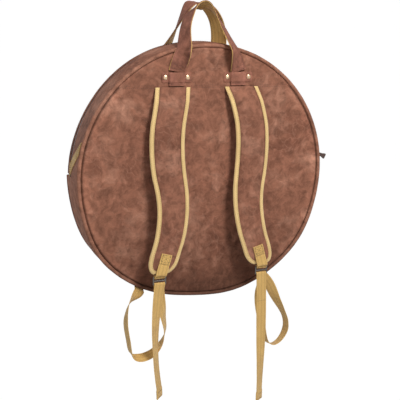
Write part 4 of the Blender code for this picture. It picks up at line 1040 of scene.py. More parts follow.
def make_slider():
    """Make the slider with its bail, and the pull that hangs from it."""
    top, bottom = ZIP_RING + 3.6 * MM, ZIP_RING - 3.6 * MM
    upright = {"ring": 10, "up": (0, 1, 0)}
    post = tube(slider_frame([(bottom, 0, 3 * MM), (top, 0, 3 * MM)]), 0.9 * MM, **upright)
    arc = [(top - 0.9 * MM + 4.6 * MM * math.sin(a) ** 0.8, 0, -5.2 * MM * math.cos(a))
           for a in np.linspace(0, PI, 17)]
    bail = tube(slider_frame(arc), 0.75 * MM, **upright)
    plates = [slider_plate(top - 1.5 * MM, top), slider_plate(bottom, bottom + 1.5 * MM)]
    shape = without_uvs(plates + [post, bail])
    make_piece("zip_slider_body", shape, "Dark steel", "zip_slider", ("zip_slider",))
    droop = math.radians(24)
    along = np.array((math.cos(droop), 0, -math.sin(droop)))
    across = np.array((math.sin(droop), 0, math.cos(droop)))
    y = np.array((0, 1.0, 0))
    hinge = np.array((0.294852, ZIP_MIDDLE, 0.041439))
    strands = []
    for sign in (-1, 1):
        strand = []
        for share in np.linspace(0.06, 1.0, 22):
            turn = PI / 2 * share
            spread = 3.5 * MM * (1 - 0.25 * share ** 4) * sign
            spoke = y * math.cos(turn) + across * math.sin(turn)
            strand.append(hinge + along * (2 * MM + 43 * MM * share) + spoke * spread)
        strands.append(strand)
    bend = []
    for a, sign in ((0.25, -1), (0.8, -1), (1.3, -1), (1.3, 1), (0.8, 1), (0.25, 1)):
        sideways = y * sign * 3.4 * MM * math.cos(a)
        bend.append(hinge + sideways + along * 2.6 * MM * (1 - math.sin(a)))
    cord = tube(np.array(strands[0][::-1] + bend + strands[1]), 1.0 * MM, **upright)
    grip, ring = [], 20
    for share, wide, thick in GRIP_PROFILE:
        middle = hinge + along * (41 * MM + 21 * MM * share)
        for k in range(ring):
            c, s = bulge(2 * PI * k / ring, 0.6)
            grip.append(middle + across * c * 4.0 * MM * wide + y * s * 2.5 * MM * thick)
    shape = without_uvs([cord, (grip, block_faces(len(GRIP_PROFILE), ring), None)])
    make_piece("zip_pull_cord", shape, "Dark pull", "zip_pull", ("zip_pull",), smooth=50)


def make_end_tabs():
    """Make the webbing sewn slantwise over the zip's ends, with a box of stitches at each end."""
    radius = BODY_RADIUS + 1.0 * MM
    low, high = 0.3 * MM - GUSSET_EDGE, 30 * MM
    slant = 68 * MM
    long = math.hypot(slant, high - low)
    width = 21 * MM * long / (high - low)
    rows, columns = 40, 17
    for name, sign, top in (("left", -1, 76 * MM), ("right", 1, 48 * MM)):
        outer = np.zeros((rows, columns, 3))
        uv = np.zeros((rows, columns, 2))
        for i, share in enumerate(np.linspace(0.04, 0.90, rows)):
            y = low + (high - low) * share
            start = math.asin((top - slant * share) / radius)
            for j, u in enumerate(np.linspace(-0.5, 0.5, columns)):
                angle = start - u * width / radius
                swell = gusset_swell(angle if sign > 0 else PI - angle, y) if y < 8 * MM else 0.0
                lift = radius + 0.7 * MM + swell
                outer[i, j] = (sign * lift * math.cos(angle), y, lift * math.sin(angle))
                uv[i, j] = (u * WEBBING_WIDE, share * long)
        shape = closed_sheet(outer, thinner(outer, WEBBING_THICK, radius), uv)
        make_piece(name + "_end_webbing", shape, "Tan webbing", "bag", (name + "_end_tab",))
        lines = []
        for first, last in ((2, 9), (30, 37)):
            corners = ((first, 2), (first, 14), (last, 14), (last, 2), (first, 2))
            steps = [step for a, b in zip(corners, corners[1:]) for step in between(a, b)]
            path = [outer[step] * (1.0004, 1, 1.0004) for step in steps]
            lines.append((path, [(p[0], 0, p[2]) / np.hypot(p[0], p[2]) for p in path]))
        make_stitches(name + "_end_stitches", lines, "Tan thread", "bag", "tan_webbing")


def between(a, b):
    """The grid places from a to b along a row or a column, without b."""
    count = max(abs(b[0] - a[0]), abs(b[1] - a[1]))
    return [tuple(p + round((q - p) * k / count) for p, q in zip(a, b)) for k in range(count)]


# The carrying handles


def cubic(shares, t):
    a, b, c, d = shares
    return a * (1 - t) ** 3 + 3 * b * t * (1 - t) ** 2 + 3 * c * t ** 2 * (1 - t) + d * t ** 3


def handle_run(flip):
    """A handle's middle line and width directions: the part's shape, swayed and twisted."""
    root, rise, stand = 236 * MM, 150 * MM, 56 * MM
    back = flip > 0
    apex, sink, tilt_top = (20 * MM, 10 * MM, 32) if back else (32 * MM, 5 * MM, 8)
    sways = (-3.5, -1.5) if back else (6.5, 14.0)
    across, upwards = zip(*HANDLE_LEG)
    points, sides = [], []
    for step in range(33):
        leg = step / 16
        t, sign = (leg, -1) if leg <= 1 else (2 - leg, 1)
        x = sign * TAB_SPACING / 2 * cubic(across, t)
        z = root + (rise - sink) * cubic(upwards, t)
        lean = 1 - (1 - max(t - 0.26, 0) / 0.74) ** 3
        twist = PI / 2 * t * (1 + 0.6 * (1 - t))
        twist += -sign * math.radians(12 * t * t if back else 34 * t ** 1.4)
        if sign < 0:
            twist += math.radians(20 if back else 6) * hump(t * 1.4) ** 2
        elif back:
            twist += math.radians(14) * hump(t * 1.6 + 0.12) ** 2
        y = -(stand + 18 * MM * math.sin(min(twist, PI / 2))) * (1 - lean) - apex * lean
        turn = twist if sign < 0 else PI - twist
        sway = sways[leg > 1] * MM * hump(t * 1.12) ** 0.8
        points.append((x + sway, y + (0.0 if back else 0.6 * abs(sway)), z))
        tilt = math.radians(tilt_top) * t ** 3
        upright = -math.sin(turn) * math.cos(tilt), math.sin(turn) * math.sin(tilt)
        sides.append((math.cos(turn), *upright))
    return points, sides


def make_handles():
    """Make both handles: a leather strip sewn on a strip of webbing with two rows of stitches."""
    lift = 1.72 * MM
    for place, flip in (("back", 1), ("front", -1)):
        name = place + "_handle"
        line = smooth_path(*handle_run(flip), 3 * MM)
        path, side, normal, run = line
        turned = np.array((1.0, flip, 1.0))
        pieces = []
        for end, node, look, wide, low, high, waves in (
            ("_strip", "_leather", "Handle leather", 35.6 * MM, -0.1 * MM, 1.7 * MM, 0.25 * MM),
            ("_inner_webbing", "_webbing", "Tan webbing", 37 * MM, -1.7 * MM, -0.2 * MM, 0.2 * MM)
        ):
            verts, faces, uvs = strap(line, wide, low, high, waves, 3.1)
            shape = verts * turned, faces, uvs
            piece = make_piece(name + end, shape, look, name, (name + node,))
            pieces.append(piece)
        lines = []
        for edge in (-14.6, 14.6):
            for face in (1, -1):
                row = path + side * edge * MM + normal * face * lift
                lines.append((row[2:-2] * turned, normal[2:-2] * face * turned))
        for along in (6 * MM, 15 * MM, float(run[-1]) - 15 * MM, float(run[-1]) - 6 * MM):
            k = int(np.searchsorted(run, along))
            row, outward = row_across(line, k, 13.5, 14, lift, normal[k])
            lines.append((np.array(row) * turned, np.array(outward) * turned))
        pieces.append(
            make_stitches(name + "_stitches", lines, "Brown thread", name, "handle_leather"))
        for piece in pieces:
            bend_at_tabs(piece)


def bend_at_tabs(piece):
    """A handle's roots bend like cloth where they leave the tabs, instead of turning stiffly."""
    piece.parent = None
    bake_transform(piece)


def tab_height(x):
    """How far a tab's inner face stands from the panel at a distance from its middle."""
    step = 18.3 * MM
    return 0.3 * MM + 3.7 * MM * (1 - fade(abs(x), step - 1.2 * MM, step + 2.6 * MM))


def tab_shape(middle, flip, sign):
    """A tab that steps over the strap end, and the strap end below it."""
    half, rows, round_by = 34 * MM, 15, 3 * MM
    ends = np.linspace(0.9, 1, 6)
    across = np.concatenate([-ends[::-1][:-1], np.linspace(-0.9, 0.9, 62), ends[1:]]) * half
    outer = np.zeros((rows, len(across), 3))
    for j, x in enumerate(across):
        corner = max(0.0, abs(x) - half + round_by) / round_by
        tall = TAB_TALL / 2 - round_by * quarter_fall(corner)
        for i, share in enumerate(np.linspace(-1, 1, rows)):
            soft = LEATHER * (1 - 0.35 * abs(share) ** 8) * (1 - 0.3 * (abs(x) / half) ** 16)
            lift = tab_height(x) + soft + 0.12 * MM * noise.noise((x * 90, share, sign))
            height = TAB_LOW + TAB_TALL / 2 + share * tall
            outer[i, j] = (middle + x, flip * (FACE + lift), height)
    inner = outer.copy()
    inner[..., 1] = [flip * (FACE + tab_height(x)) for x in across]
    end = [(middle, flip * (FACE + 2.0 * MM), z * MM) for z in (204.5, 208, 211, 213)]
    line = smooth_path(end, [(1.0, 0, 0)] * 4, 1.5 * MM)
    tail = strap(line, 36 * MM, -1.7 * MM, 1.7 * MM)
    return join_parts([closed_sheet(outer, inner, outer[..., (0, 2)]), tail])


def make_tabs():
    """Make the leather tabs and their rivets."""
    for place, flip, body in (("back", -1, "bag"), ("front", 1, "lid")):
        for side, sign in (("left", -1), ("right", 1)):
            name = place + "_" + side
            middle = sign * TAB_SPACING / 2
            shape = tab_shape(middle, flip, sign)
            make_piece(name + "_rivet_tab", shape, "Handle leather", body, (name + "_tab",))
            x = np.linspace(middle - 15 * MM, middle + 15 * MM, 20)
            line = level_row(x, 209 * MM, flip, lambda x, z: 3.72 * MM)
            make_stitches(name + "_tab_stitches", [line], "Brown thread", body, "handle_leather")
            for which, shift in (("_outer", sign), ("_inner", -sign)):
                make_rivet(name + which + "_rivet", middle + shift * 25.5 * MM, flip, body)


RIVET_PROFILE = (
    (0.01, 2.2), (1.2, 2.14), (2.3, 1.94), (3.2, 1.58), (3.8, 1.12), (4.05, 0.72), (4.3, 0.55),
    (4.8, 0.5), (5.0, 0.3), (5.0, 0.0), (1.8, 0.0), (1.8, -1.9), (0.01, -1.9),
)


def make_rivet(name, x, flip, body):
    """A domed rivet head with a flat rim."""
    seat, height = FACE + 2.2 * MM, 223 * MM
    ring, verts = 28, []
    for radius, level in RIVET_PROFILE:
        for k in range(ring):
            turn = 2 * PI * k / ring
            wide, tall = radius * MM * math.cos(turn), radius * MM * math.sin(turn)
            verts.append((x + wide, flip * (seat + level * MM), height + tall))
    shape = verts, block_faces(len(RIVET_PROFILE), ring), None
    make_piece(name + "_head", shape, "Copper rivet", body, (name,), smooth=50)


# The shoulder straps


def pad_row(share):
    """Sweep, bow and half-width shares at a place along the pad, on a smooth curve."""
    rows = [np.array(row) for row in PAD_ROWS]
    k = next((i for i in range(len(rows) - 1) if share <= rows[i + 1][0]), len(rows) - 2)
    b, c = rows[k], rows[k + 1]
    a = rows[k - 1] if k else 2 * b - c
    d = rows[k + 2] if k + 2 < len(rows) else 2 * c - b
    gap = c[0] - b[0]
    t = (share - b[0]) / gap
    before = (c - a) / (c[0] - a[0]) * gap
    after = (d - b) / (d[0] - b[0]) * gap
    ease = 3 * t ** 2 - 2 * t ** 3
    bend = (t ** 3 - 2 * t ** 2 + t) * before + (t ** 3 - t ** 2) * after
    return ((1 - ease) * b + ease * c + bend)[1:]


def pad_thin(share):
    return min(1.0, 0.27 + 0.73 * share * PAD_LENGTH / (32 * MM))


def pad_middle(sign, share):
    sweep, bow, _ = pad_row(share)
    y = -(FACE + 0.3 * MM + 7.1 * MM * pad_thin(share) + 42 * MM * bow)
    return np.array((sign * (81.5 * MM + 36 * MM * sweep), y, PAD_TOP - PAD_LENGTH * share))


def pad_normal(sign, share):
    above, below = pad_middle(sign, max(share - 0.01, 0)), pad_middle(sign, min(share + 0.01, 1))
    run = below - above
    return unit(np.array((0, run[2], -run[1])))


def pad_stations(inset, count=86):
    """Shares along the pad with its half-width at each, and closer ones round its lower end."""
    flat = 14 * MM
    start = 1 - PAD_ROUND / PAD_LENGTH
    shares = np.linspace(0, start, count, endpoint=False)
    stations = [(s, 40 * MM * pad_row(s)[2] - inset) for s in shares]
    across = 40 * MM * pad_row(start)[2] - flat
    for turn in np.linspace(0, PI / 2, 18):
        slope = unit(np.array((math.cos(turn) / across, math.sin(turn) / PAD_ROUND)))
        half = flat + across * math.cos(turn) - inset * slope[0]
        along = PAD_ROUND * math.sin(turn) - inset * slope[1]
        stations.append((start + along / PAD_LENGTH, half))
    return stations


def pad_face(sign, side, crown, columns=30):
    """One face of a pad, crowned in its middle and drawn in at the binding."""
    inset = 2.2 * MM
    stations = pad_stations(inset)
    grid = np.zeros((len(stations), columns, 3))
    uv = np.zeros((len(stations), columns, 2))
    for i, (share, half) in enumerate(stations):
        middle, normal = pad_middle(sign, share), pad_normal(sign, share)
        thick = (PAD_HALF - 0.3 * MM) * pad_thin(share)
        above, below = share * PAD_LENGTH, (1 - share) * PAD_LENGTH
        calm_ends = fade(below, 0.0, 30 * MM) * fade(above, 2 * MM, 30 * MM)
        for j, u in enumerate(np.sin(np.linspace(-PI / 2, PI / 2, columns))):
            x = u * half
            inward = fade(half - abs(x), 4 * MM, 24 * MM) * calm_ends
            rumple = 0.75 * MM * slack(middle[0] + x, middle[2], 7 + sign) * inward
            depth = min(half - abs(x), below) + inset
            lift = thick * drawn_in(depth) + crown * inward + rumple
            grid[i, j] = middle + (x, 0, 0) + side * normal * lift
            uv[i, j] = (x, above)
    return grid, uv


def drawn_in(depth):
    """How far the tape pulls a pad's edge together, at a distance in from the edge."""
    return 0.48 + 0.52 * fade(depth, 5 * MM, 24 * MM)


def edge_run(sign):
    """Places round the pad's edge, with the face and the outward directions and the thinness."""
    stations = pad_stations(0.0)
    whole = [(s, -h) for s, h in stations] + [(1.0, 0.0)] + [(s, h) for s, h in stations[::-1]]
    points = np.array([pad_middle(sign, s) + (h, 0, 0) for s, h in whole])
    normals = np.array([pad_normal(sign, s) for s, _ in whole])
    thin = np.array([pad_thin(s) for s, _ in whole])
    rounded = 1 - PAD_ROUND / PAD_LENGTH
    out = unit(np.cross(unit(np.gradient(points, axis=0)), normals))
    for k, (s, h) in enumerate(whole):
        straight = s <= rounded
        sideways = np.array((math.copysign(1, h), 0, 0))
        reference = sideways if straight else np.array((math.copysign(0.4, h), 0, -1.0))
        if out[k] @ reference < 0:
            out[k] = -out[k]
        if straight:
            share = fade((rounded - s) * PAD_LENGTH, 0.0, 12 * MM)
            out[k] = unit(out[k] * (1 - share) + sideways * share)
    return points, normals, out, thin


def binding_section(bite, tape, overlap):
    """The tape's section as (outward, up) places, outside first: a channel with a round back."""
    lip = [
        (-overlap, bite + tape * 0.6), (-overlap + 0.5 * MM, bite + tape),
        (-6 * MM, bite + tape), (-3.6 * MM, bite + tape * 0.8),
    ]
    outer = list(lip)
    for turn in np.linspace(PI / 2, -PI / 2, 11)[1:-1]:
        up = math.copysign(abs(math.sin(turn)) ** 0.85, math.sin(turn))
        outer.append((-3.2 * MM + 3.6 * MM * math.cos(turn), (bite + tape * 0.6) * up))
    outer += [(a, -b) for a, b in reversed(lip)]
    half = [(-overlap, bite), (-5.5 * MM, bite * 0.9), (-2.4 * MM, bite * 0.6)]
    inner = [(a, -b) for a, b in half] + [(-1.4 * MM, 0.0)] + half[::-1]
    return outer, inner


def make_binding(name, sign, body):
    """Tape folded over the pad's edge, with a little slack between its stitches."""
    points, normals, out, thin = edge_run(sign)
    bite, tape, overlap, sewn = PAD_HALF + 0.1 * MM, 1.0 * MM, 9.0 * MM, 7.2 * MM
    outer, inner = binding_section(bite, tape, overlap)
    section = outer + inner
    run = run_along(points)
    around = run_along(np.array(section))
    verts, uvs = [], []
    for k in range(len(points)):
        wobble = 0.25 * MM * noise.noise((run[k] * 70, sign, 0))
        for m, (a, b) in enumerate(section):
            shift = wobble if a > -overlap and m < len(outer) else 0.0
            up = normals[k] * b * thin[k] * drawn_in(-a)
            verts.append(points[k] + out[k] * (a + shift) + up)
            uvs.append((around[m], run[k]))
    shape = verts, tube_faces(len(points), len(section)), uvs
    make_piece(body + "_tape", shape, "Tan binding", body, (body + "_binding",), smooth=50)
    lines = []
    for face in (1, -1):
        lift = face * (bite + tape + 0.05 * MM) * thin * drawn_in(sewn)
        row = points - out * sewn + normals * lift[:, None]
        lines.append((row[1:-1], normals[1:-1] * face))
    make_stitches(body + "_tape_stitches", lines, "Tan thread", body, "tan_binding")


def make_pad(name, sign):
    """A pad's padded face and underside, and its tape."""
    body = name + "_pad"
    face, uv = pad_face(sign, 1, sizes().pad_crown)
    back, _ = pad_face(sign, -1, 0.5 * MM)
    middle = face * 0.35 + back * 0.65
    nodes = (body + "_leather", body + "_foam")
    cover = closed_sheet(face, middle, uv)
    make_piece(body + "_cover", cover, "Pad leather", body, nodes)
    under = closed_sheet(middle, back, uv)
    make_piece(body + "_back", under, "Pad underside cloth", body, (body + "_underside",))
    make_binding(name, sign, body)


def bar_wrap(layers):
    """How far a band's middle stands from a bar's, on top of the layers below it."""
    bar = math.hypot(3.0, 2.6) / 2 * MM
    return bar + layers * 0.3 * MM + (layers - 0.5) * WEBBING_THICK


def bar_place(sign, bar):
    return np.array((sign * BUCKLE_X, BAR_Y, BAR_Z - bar * 8 * MM))


def make_webbing(piece, line, low, high, waves, seed, body, node):
    """A length of the webbing along a line, declared as a sheet of its flat size."""
    band = strap(line, WEBBING_WIDE, low, high, waves, seed)
    made = make_piece(piece, band, "Tan webbing", body, (node,))
    return made


def make_anchor(name, sign):
    """Webbing sewn on the pad with a crossed box, carried over its end and round the top bar."""
    bar, thick, wrap = bar_place(sign, 0), WEBBING_THICK, bar_wrap(1)
    face = PAD_HALF + 0.6 * MM + thick / 2
    over = PAD_HALF + 2.5 * MM + thick / 2
    heights = (46, 38, 31, 24.5, 18.9, 11.9, -1.4)
    lifts = (face + 1.2 * MM, face + 1.2 * MM, face + 1.1 * MM, face + 1.0 * MM, over, over, over)
    rows = [(PAD_BOTTOM + height * MM, lift) for height, lift in zip(heights, lifts)]
    rows += [(bar[2] + 3 * thick, wrap + thick / 2), (bar[2] + 1.5 * thick, wrap)]
    slant = math.radians(16)
    points, sides = [], []
    for z, out in rows:
        above = max(0.0, z - bar[2] - 3 * MM)
        share = max(0.0, (PAD_TOP - max(z, PAD_BOTTOM)) / PAD_LENGTH)
        x = bar[0] - sign * above * math.tan(slant)
        points.append((x, pad_middle(sign, share)[1] - out, z))
        lean = slant * min(1.0, 2 * above / (46 * MM))
        sides.append((-math.cos(lean), 0, -sign * math.sin(lean)))
    points += [bar + (0, -wrap * math.cos(a), -wrap * math.sin(a)) for a in np.linspace(0, PI, 7)]
    points.append(bar + (0, wrap, 4.2 * MM))
    sides += [(-1.0, 0, 0)] * 8
    line = smooth_path(points, sides, 1.2 * MM)
    path, side, normal, run = line
    outwards = 1 if normal[3][1] < 0 else -1
    second = np.array([2.0 * MM * (1 - fade(p, 23.4 * MM, 24.6 * MM)) for p in run])
    low = -thick / 2 - (second if outwards < 0 else 0.0)
    high = thick / 2 + (second if outwards > 0 else 0.0)
    make_webbing(name + "_anchor_webbing", line, low, high, 0.12 * MM, sign, name + "_pad",
                 name + "_buckle_anchor")

    def on_patch(u, v):
        k = min(len(path) - 1, max(0, int(round(v / (run[1] - run[0])))))
        outward = normal[k] if normal[k][1] < 0 else -normal[k]
        return path[k] + side[k] * u + outward * (thick / 2 + second[k] + 0.06 * MM), outward

    a, b, c, d = (-9.5, 2.5), (9.5, 2.5), (9.5, 18.5), (-9.5, 18.5)
    lines = []
    for p, q in ((a, b), (b, c), (c, d), (d, a), (a, c), (b, d), ((-10, 21.5), (10, 21.5))):
        shares = np.linspace(0, 1, 16)
        steps = [on_patch(*((s + (e - s) * t) * MM for s, e in zip(p, q))) for t in shares]
        lines.append(tuple(zip(*steps)))
    make_stitches(name + "_anchor_stitches", lines, "Brown thread", name + "_pad", "tan_webbing")


def rounded_loop(width, height, radius, steps=6):
    points = []
    for quarter, (sx, sz) in enumerate(((1, 1), (-1, 1), (-1, -1), (1, -1))):
        corner = sx * (width / 2 - radius), sz * (height / 2 - radius)
        for step in range(steps + 1):
            turn = PI / 2 * (quarter + step / steps)
            point = corner[0] + radius * math.cos(turn), corner[1] + radius * math.sin(turn)
            points.append(point)
    return points


def make_buckle(name, sign):
    """A cast metal slide: a round-edged frame and three bars."""
    trim, bar_step = 0.42 * MM, 8 * MM
    data = bpy.data.curves.new(name + "_slide", "CURVE")
    data.dimensions = "2D"
    data.fill_mode = "BOTH"
    data.extrude = 0.85 * MM
    data.bevel_depth = trim
    data.bevel_resolution = 3
    outlines = [(rounded_loop(31 * MM - 2 * trim, 19 * MM - 2 * trim, 1.4 * MM), -bar_step)]
    slot = rounded_loop(25.9 * MM + 2 * trim, 5 * MM + 2 * trim, 1.0 * MM)
    outlines += [(slot, -0.5 * bar_step), (slot, -1.5 * bar_step)]
    for points, drop in outlines:
        spline = data.splines.new("POLY")
        spline.points.add(len(points) - 1)
        for target, (x, z) in zip(spline.points, points):
            target.co = (x, z + drop, 0, 1)
        spline.use_cyclic_u = True
    guide = link_object(name + "_guide", data)
    drawn = guide.evaluated_get(bpy.context.evaluated_depsgraph_get())
    mesh = bpy.data.meshes.new_from_object(drawn)
    bpy.data.objects.remove(guide, do_unlink=True)
    bm = bmesh.new()
    bm.from_mesh(mesh)
    bmesh.ops.remove_doubles(bm, verts=bm.verts, dist=0.00001)
    stand = Matrix.Translation(bar_place(sign, 0)) @ Matrix.Rotation(PI / 2, 4, "X")
    bmesh.ops.transform(bm, matrix=stand, verts=bm.verts)
    body = name + "_buckle"
    make_piece(name + "_slide", shape_of(bm), "Dark steel", body, (body,))


def shape_of(bm):
    """A bmesh's verts and faces, and its end."""
    bm.verts.index_update()
    verts, faces = [tuple(v.co) for v in bm.verts], [[v.index for v in f.verts] for f in bm.faces]
    bm.free()
    return verts, faces, None


def make_tail(name, sign, reach):
    """The strap's free end: hooked over the lower bar, turning a little as it hangs, hemmed."""
    bar, wrap, hem = bar_place(sign, 2), bar_wrap(1), 24 * MM
    turns = np.linspace(math.radians(150), 0, 7)
    points = [bar + (0, -wrap * math.cos(a), wrap * math.sin(a)) for a in turns]
    sides = [(-1.0, 0, 0)] * len(points)
    for share in np.linspace(0, 1, 15)[1:]:
        drop = (reach - hem / 2) * share
        points.append(bar + (tail_sway(sign, share), 2 * wrap * share - wrap, -drop))
        turn = tail_turn(sign, share)
        sides.append((-math.cos(turn), -math.sin(turn), 0))
    points.append((*points[-1][:2], bar[2] - reach))
    sides.append(sides[-1])
    line = smooth_path(points, sides, 2.2 * MM)
    normal, run = line[2:]
    end = run[-1]
    folded = np.array([fade(p, end - hem - 1.5 * MM, end - hem + 1 * MM) for p in run])
    half = WEBBING_THICK / 2 * (1 + 1.9 * folded)
    half *= np.array([1 - 0.75 * fade(p, end - 1.6 * MM, end) for p in run])
    make_webbing(name + "_tail_webbing", line, -half, half, 0.3 * MM, 5 + sign, name + "_tail",
                 name + "_strap_tail")
    places = [(end - 19 * MM, 10.5), (end - 5 * MM, 10.5)] + [(76 * MM, 11)] * (sign > 0)
    lines = []
    for place, wide in places:
        k = int(np.searchsorted(run, place))
        for face in (1, -1):
            lines.append(row_across(line, k, wide, 12, half[k] + 0.05 * MM, normal[k] * face))
    make_stitches(name + "_tail_stitches", lines, "Brown thread", name + "_tail", "tan_webbing")


def tail_turn(sign, share):
    """The hanging end turns about its length towards its hem."""
    if sign < 0:
        return math.radians(46) * fade(share, -0.25, 0.75)
    return math.radians(34) * fade(share, 0.35, 0.95)


def tail_sway(sign, share):
    """How far the hanging end strays sideways from a straight fall."""
    if sign < 0:
        return -9 * MM * hump(share * 1.05) ** 0.8 + 3 * MM * share ** 3
    return 9 * MM * share ** 1.4 + 3 * MM * math.sin(PI * share)


def loop_foot(sign):
    """The loop's last places, from the bottom seam on to the gusset, and the directions there."""
    across, radius, swell = 152 * MM, BODY_RADIUS + 1.0 * MM, 1.9 * MM
    foot = np.array((sign * across, 0, -math.sqrt(radius ** 2 - across ** 2)))
    outward = unit(foot)
    along = np.cross(outward, (0, 1.0, 0))
    along = along if along[0] < 0 else -along
    lip = 3.8 * MM
    sewn = [foot + outward * out + (0, y * MM - GUSSET_EDGE, 0) for out, y in (
        (3 * lip, -6.2), (1.6 * lip, -5.5), (1.2 * lip, -2.4), (lip / 2, 2.4),
        (swell / 2, 7.2), (swell, 19), (swell, 31.2),
    )]
    return settled(sewn), outward, along


def make_loop(name, sign):
    """The lower part of the strap: from the buckle down, round, and up to the bottom seam."""
    bar = bar_place(sign, 2)
    rows, spread, drop = (LEFT_LOOP, 67 * MM, 182 * MM)
    if sign > 0:
        rows, spread, drop = (RIGHT_LOOP, 81 * MM, 197 * MM)
    way = -SEAM - bar[1]
    points, sides = [bar + (0, bar_wrap(2), -1.5 * MM)], [(-1.0, 0, 0)]
    for out, towards, down, turn, tilt in rows:
        points.append(bar + (sign * spread * out, way * towards, -drop * down))
        turn, tilt = math.radians(turn), math.radians(tilt)
        level = -math.sin(turn) * math.cos(tilt), math.cos(turn) * math.cos(tilt)
        sides.append((*level, math.sin(tilt)))
    sewn, outward, along = loop_foot(sign)
    line = smooth_path(points + list(sewn), sides + [along] * len(sewn), 2.2 * MM)
    run = line[3]
    half = WEBBING_THICK / 2
    piece = make_webbing(name + "_loop_webbing", line, -half, half, 0.35 * MM, 9 + sign, "bag",
                         name + "_strap_loop")
    lines = []
    for back in (3, 16):
        k = int(np.searchsorted(run, run[-1] - back * MM))
        lines.append(row_across(line, k, 10.5, 12, 0.75 * MM, outward))
    make_stitches(name + "_loop_stitches", lines, "Tan thread", "bag", "tan_webbing")
    loosen(piece)


def loosen(piece):
    """The loop's upper end follows the pad that carries the buckle; its foot stays on the bag."""
    piece.parent = None
    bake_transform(piece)


def make_straps():
    """Make the pads, buckles, tails and loops."""
    for name, sign, reach in (("left", -1, 279 * MM), ("right", 1, 327 * MM)):
        for make in (make_pad, make_anchor, make_buckle):
            make(name, sign)
        make_tail(name, sign, reach)
        make_loop(name, sign)


# The pocket on the front


def make_pocket():
    """Make the half-moon pocket with its zip, slider and pull."""
    base, deep = FACE + 0.3 * MM, 18 * MM
    make_piece("pocket_cover", pouch_shape(base, base + deep), "Brown leather", "bag",
               ("pocket_panel",), settle=True)
    half_chord = math.sqrt(POCKET_RIM ** 2 - POCKET_TOP ** 2)
    end = half_chord - 8 * MM
    mouth = level_row(np.linspace(-end, end, 120), POCKET_TOP - 2.5 * MM, 1.0,
                      lambda x, z: 18.35 * MM)
    corner = math.asin(POCKET_TOP / POCKET_RIM)
    arc = np.linspace(corner - 0.03, 0.03 - PI - corner, 240)
    wall = [band_point(a, POCKET_RIM * 1.0001, base + 3 * MM) for a in arc]
    lines = [mouth, (wall, [band_point(a, 1.0, 0.0) for a in arc])]
    make_stitches("pocket_stitches", lines, "Brown thread", "bag", "brown_leather", True)
    low, tape = POCKET_TOP + 0.3 * MM, 1.4 * MM
    end = half_chord - 0.5 * MM
    outer = np.zeros((120, 12, 3))
    outer[..., 0] = np.linspace(-end, end, 120)[:, None]
    outer[..., 1] = base + deep * np.linspace(0, 1, 12)
    outer[..., 2] = low + tape
    shape = closed_sheet(outer, outer - (0, 0, tape), outer[..., (1, 0)])
    make_piece("pocket_zip_tape", shape, "Zip tape", "bag", ("pocket_zip",))
    middle, end = base + deep / 2, half_chord - 10 * MM
    steps = int(2 * end / (1.6 * MM)) * 4
    turn = np.linspace(0, steps / 4 * 2 * PI, steps)
    along = np.linspace(-end, end, steps)
    height = low + tape + 0.75 * MM + 0.6 * MM * np.sin(turn)
    coils = []
    for side in (-1, 1):
        across = middle + side * 1.35 * MM + 1.25 * MM * np.cos(turn)
        coils.append(tube(np.stack([along, across, height], 1), 0.3 * MM, 5))
    make_piece("pocket_zip_coils", without_uvs(coils), "Zip teeth", "bag", smooth=180)
    make_pocket_slider(half_chord - 24 * MM, middle, POCKET_TOP + 3.4 * MM)


def pouch_shape(base, front):
    """The pocket's leather: a padded face with a rolled edge, and a wall round it."""
    roll, leather = 6 * MM, 1.5 * MM

    def level(x, z):
        radius = math.hypot(x, z)
        edge = within((radius - POCKET_RIM + roll) / roll)
        inward = fade(POCKET_RIM - radius, 0.0, 40 * MM) * fade(POCKET_TOP - z, 0.0, 30 * MM)
        puff = (1.5 * MM + 1.6 * MM * slack(x, z, 21.0)) * inward
        return front - roll * quarter_fall(edge) + puff

    turns = np.linspace(-PI / 2 * 0.996, math.asin(POCKET_TOP / POCKET_RIM), 70)
    face = disc_grid(POCKET_RIM, turns, 84, level)
    steps = (base, base + 3 * MM, base + 7 * MM, front - roll)
    wall = np.array([[band_point(a, POCKET_RIM, y) for y in steps] for a in turns])
    outer = np.concatenate([wall * (-1, 1, 1), face, wall[:, ::-1]], axis=1)
    inner = thinner(outer, leather, POCKET_RIM)
    inner[..., 1] -= leather * (outer[..., 1] > front - roll - 0.1 * MM)
    inner[..., 2] = np.minimum(inner[..., 2], POCKET_TOP)
    return closed_sheet(outer, inner, outer[..., (0, 2)])


def soft_block(x, y, z, round_by):
    """A block with rounded edges, from its two ends each way."""
    low, high = map(Vector, zip(x, y, z))
    bm = bmesh.new()
    bmesh.ops.create_cube(bm, size=1)
    bmesh.ops.scale(bm, vec=high - low, verts=bm.verts)
    bmesh.ops.translate(bm, vec=(low + high) / 2, verts=bm.verts)
    bmesh.ops.bevel(bm, geom=bm.edges[:], offset=round_by, segments=3, profile=0.5,
                    affect="EDGES")
    return shape_of(bm)


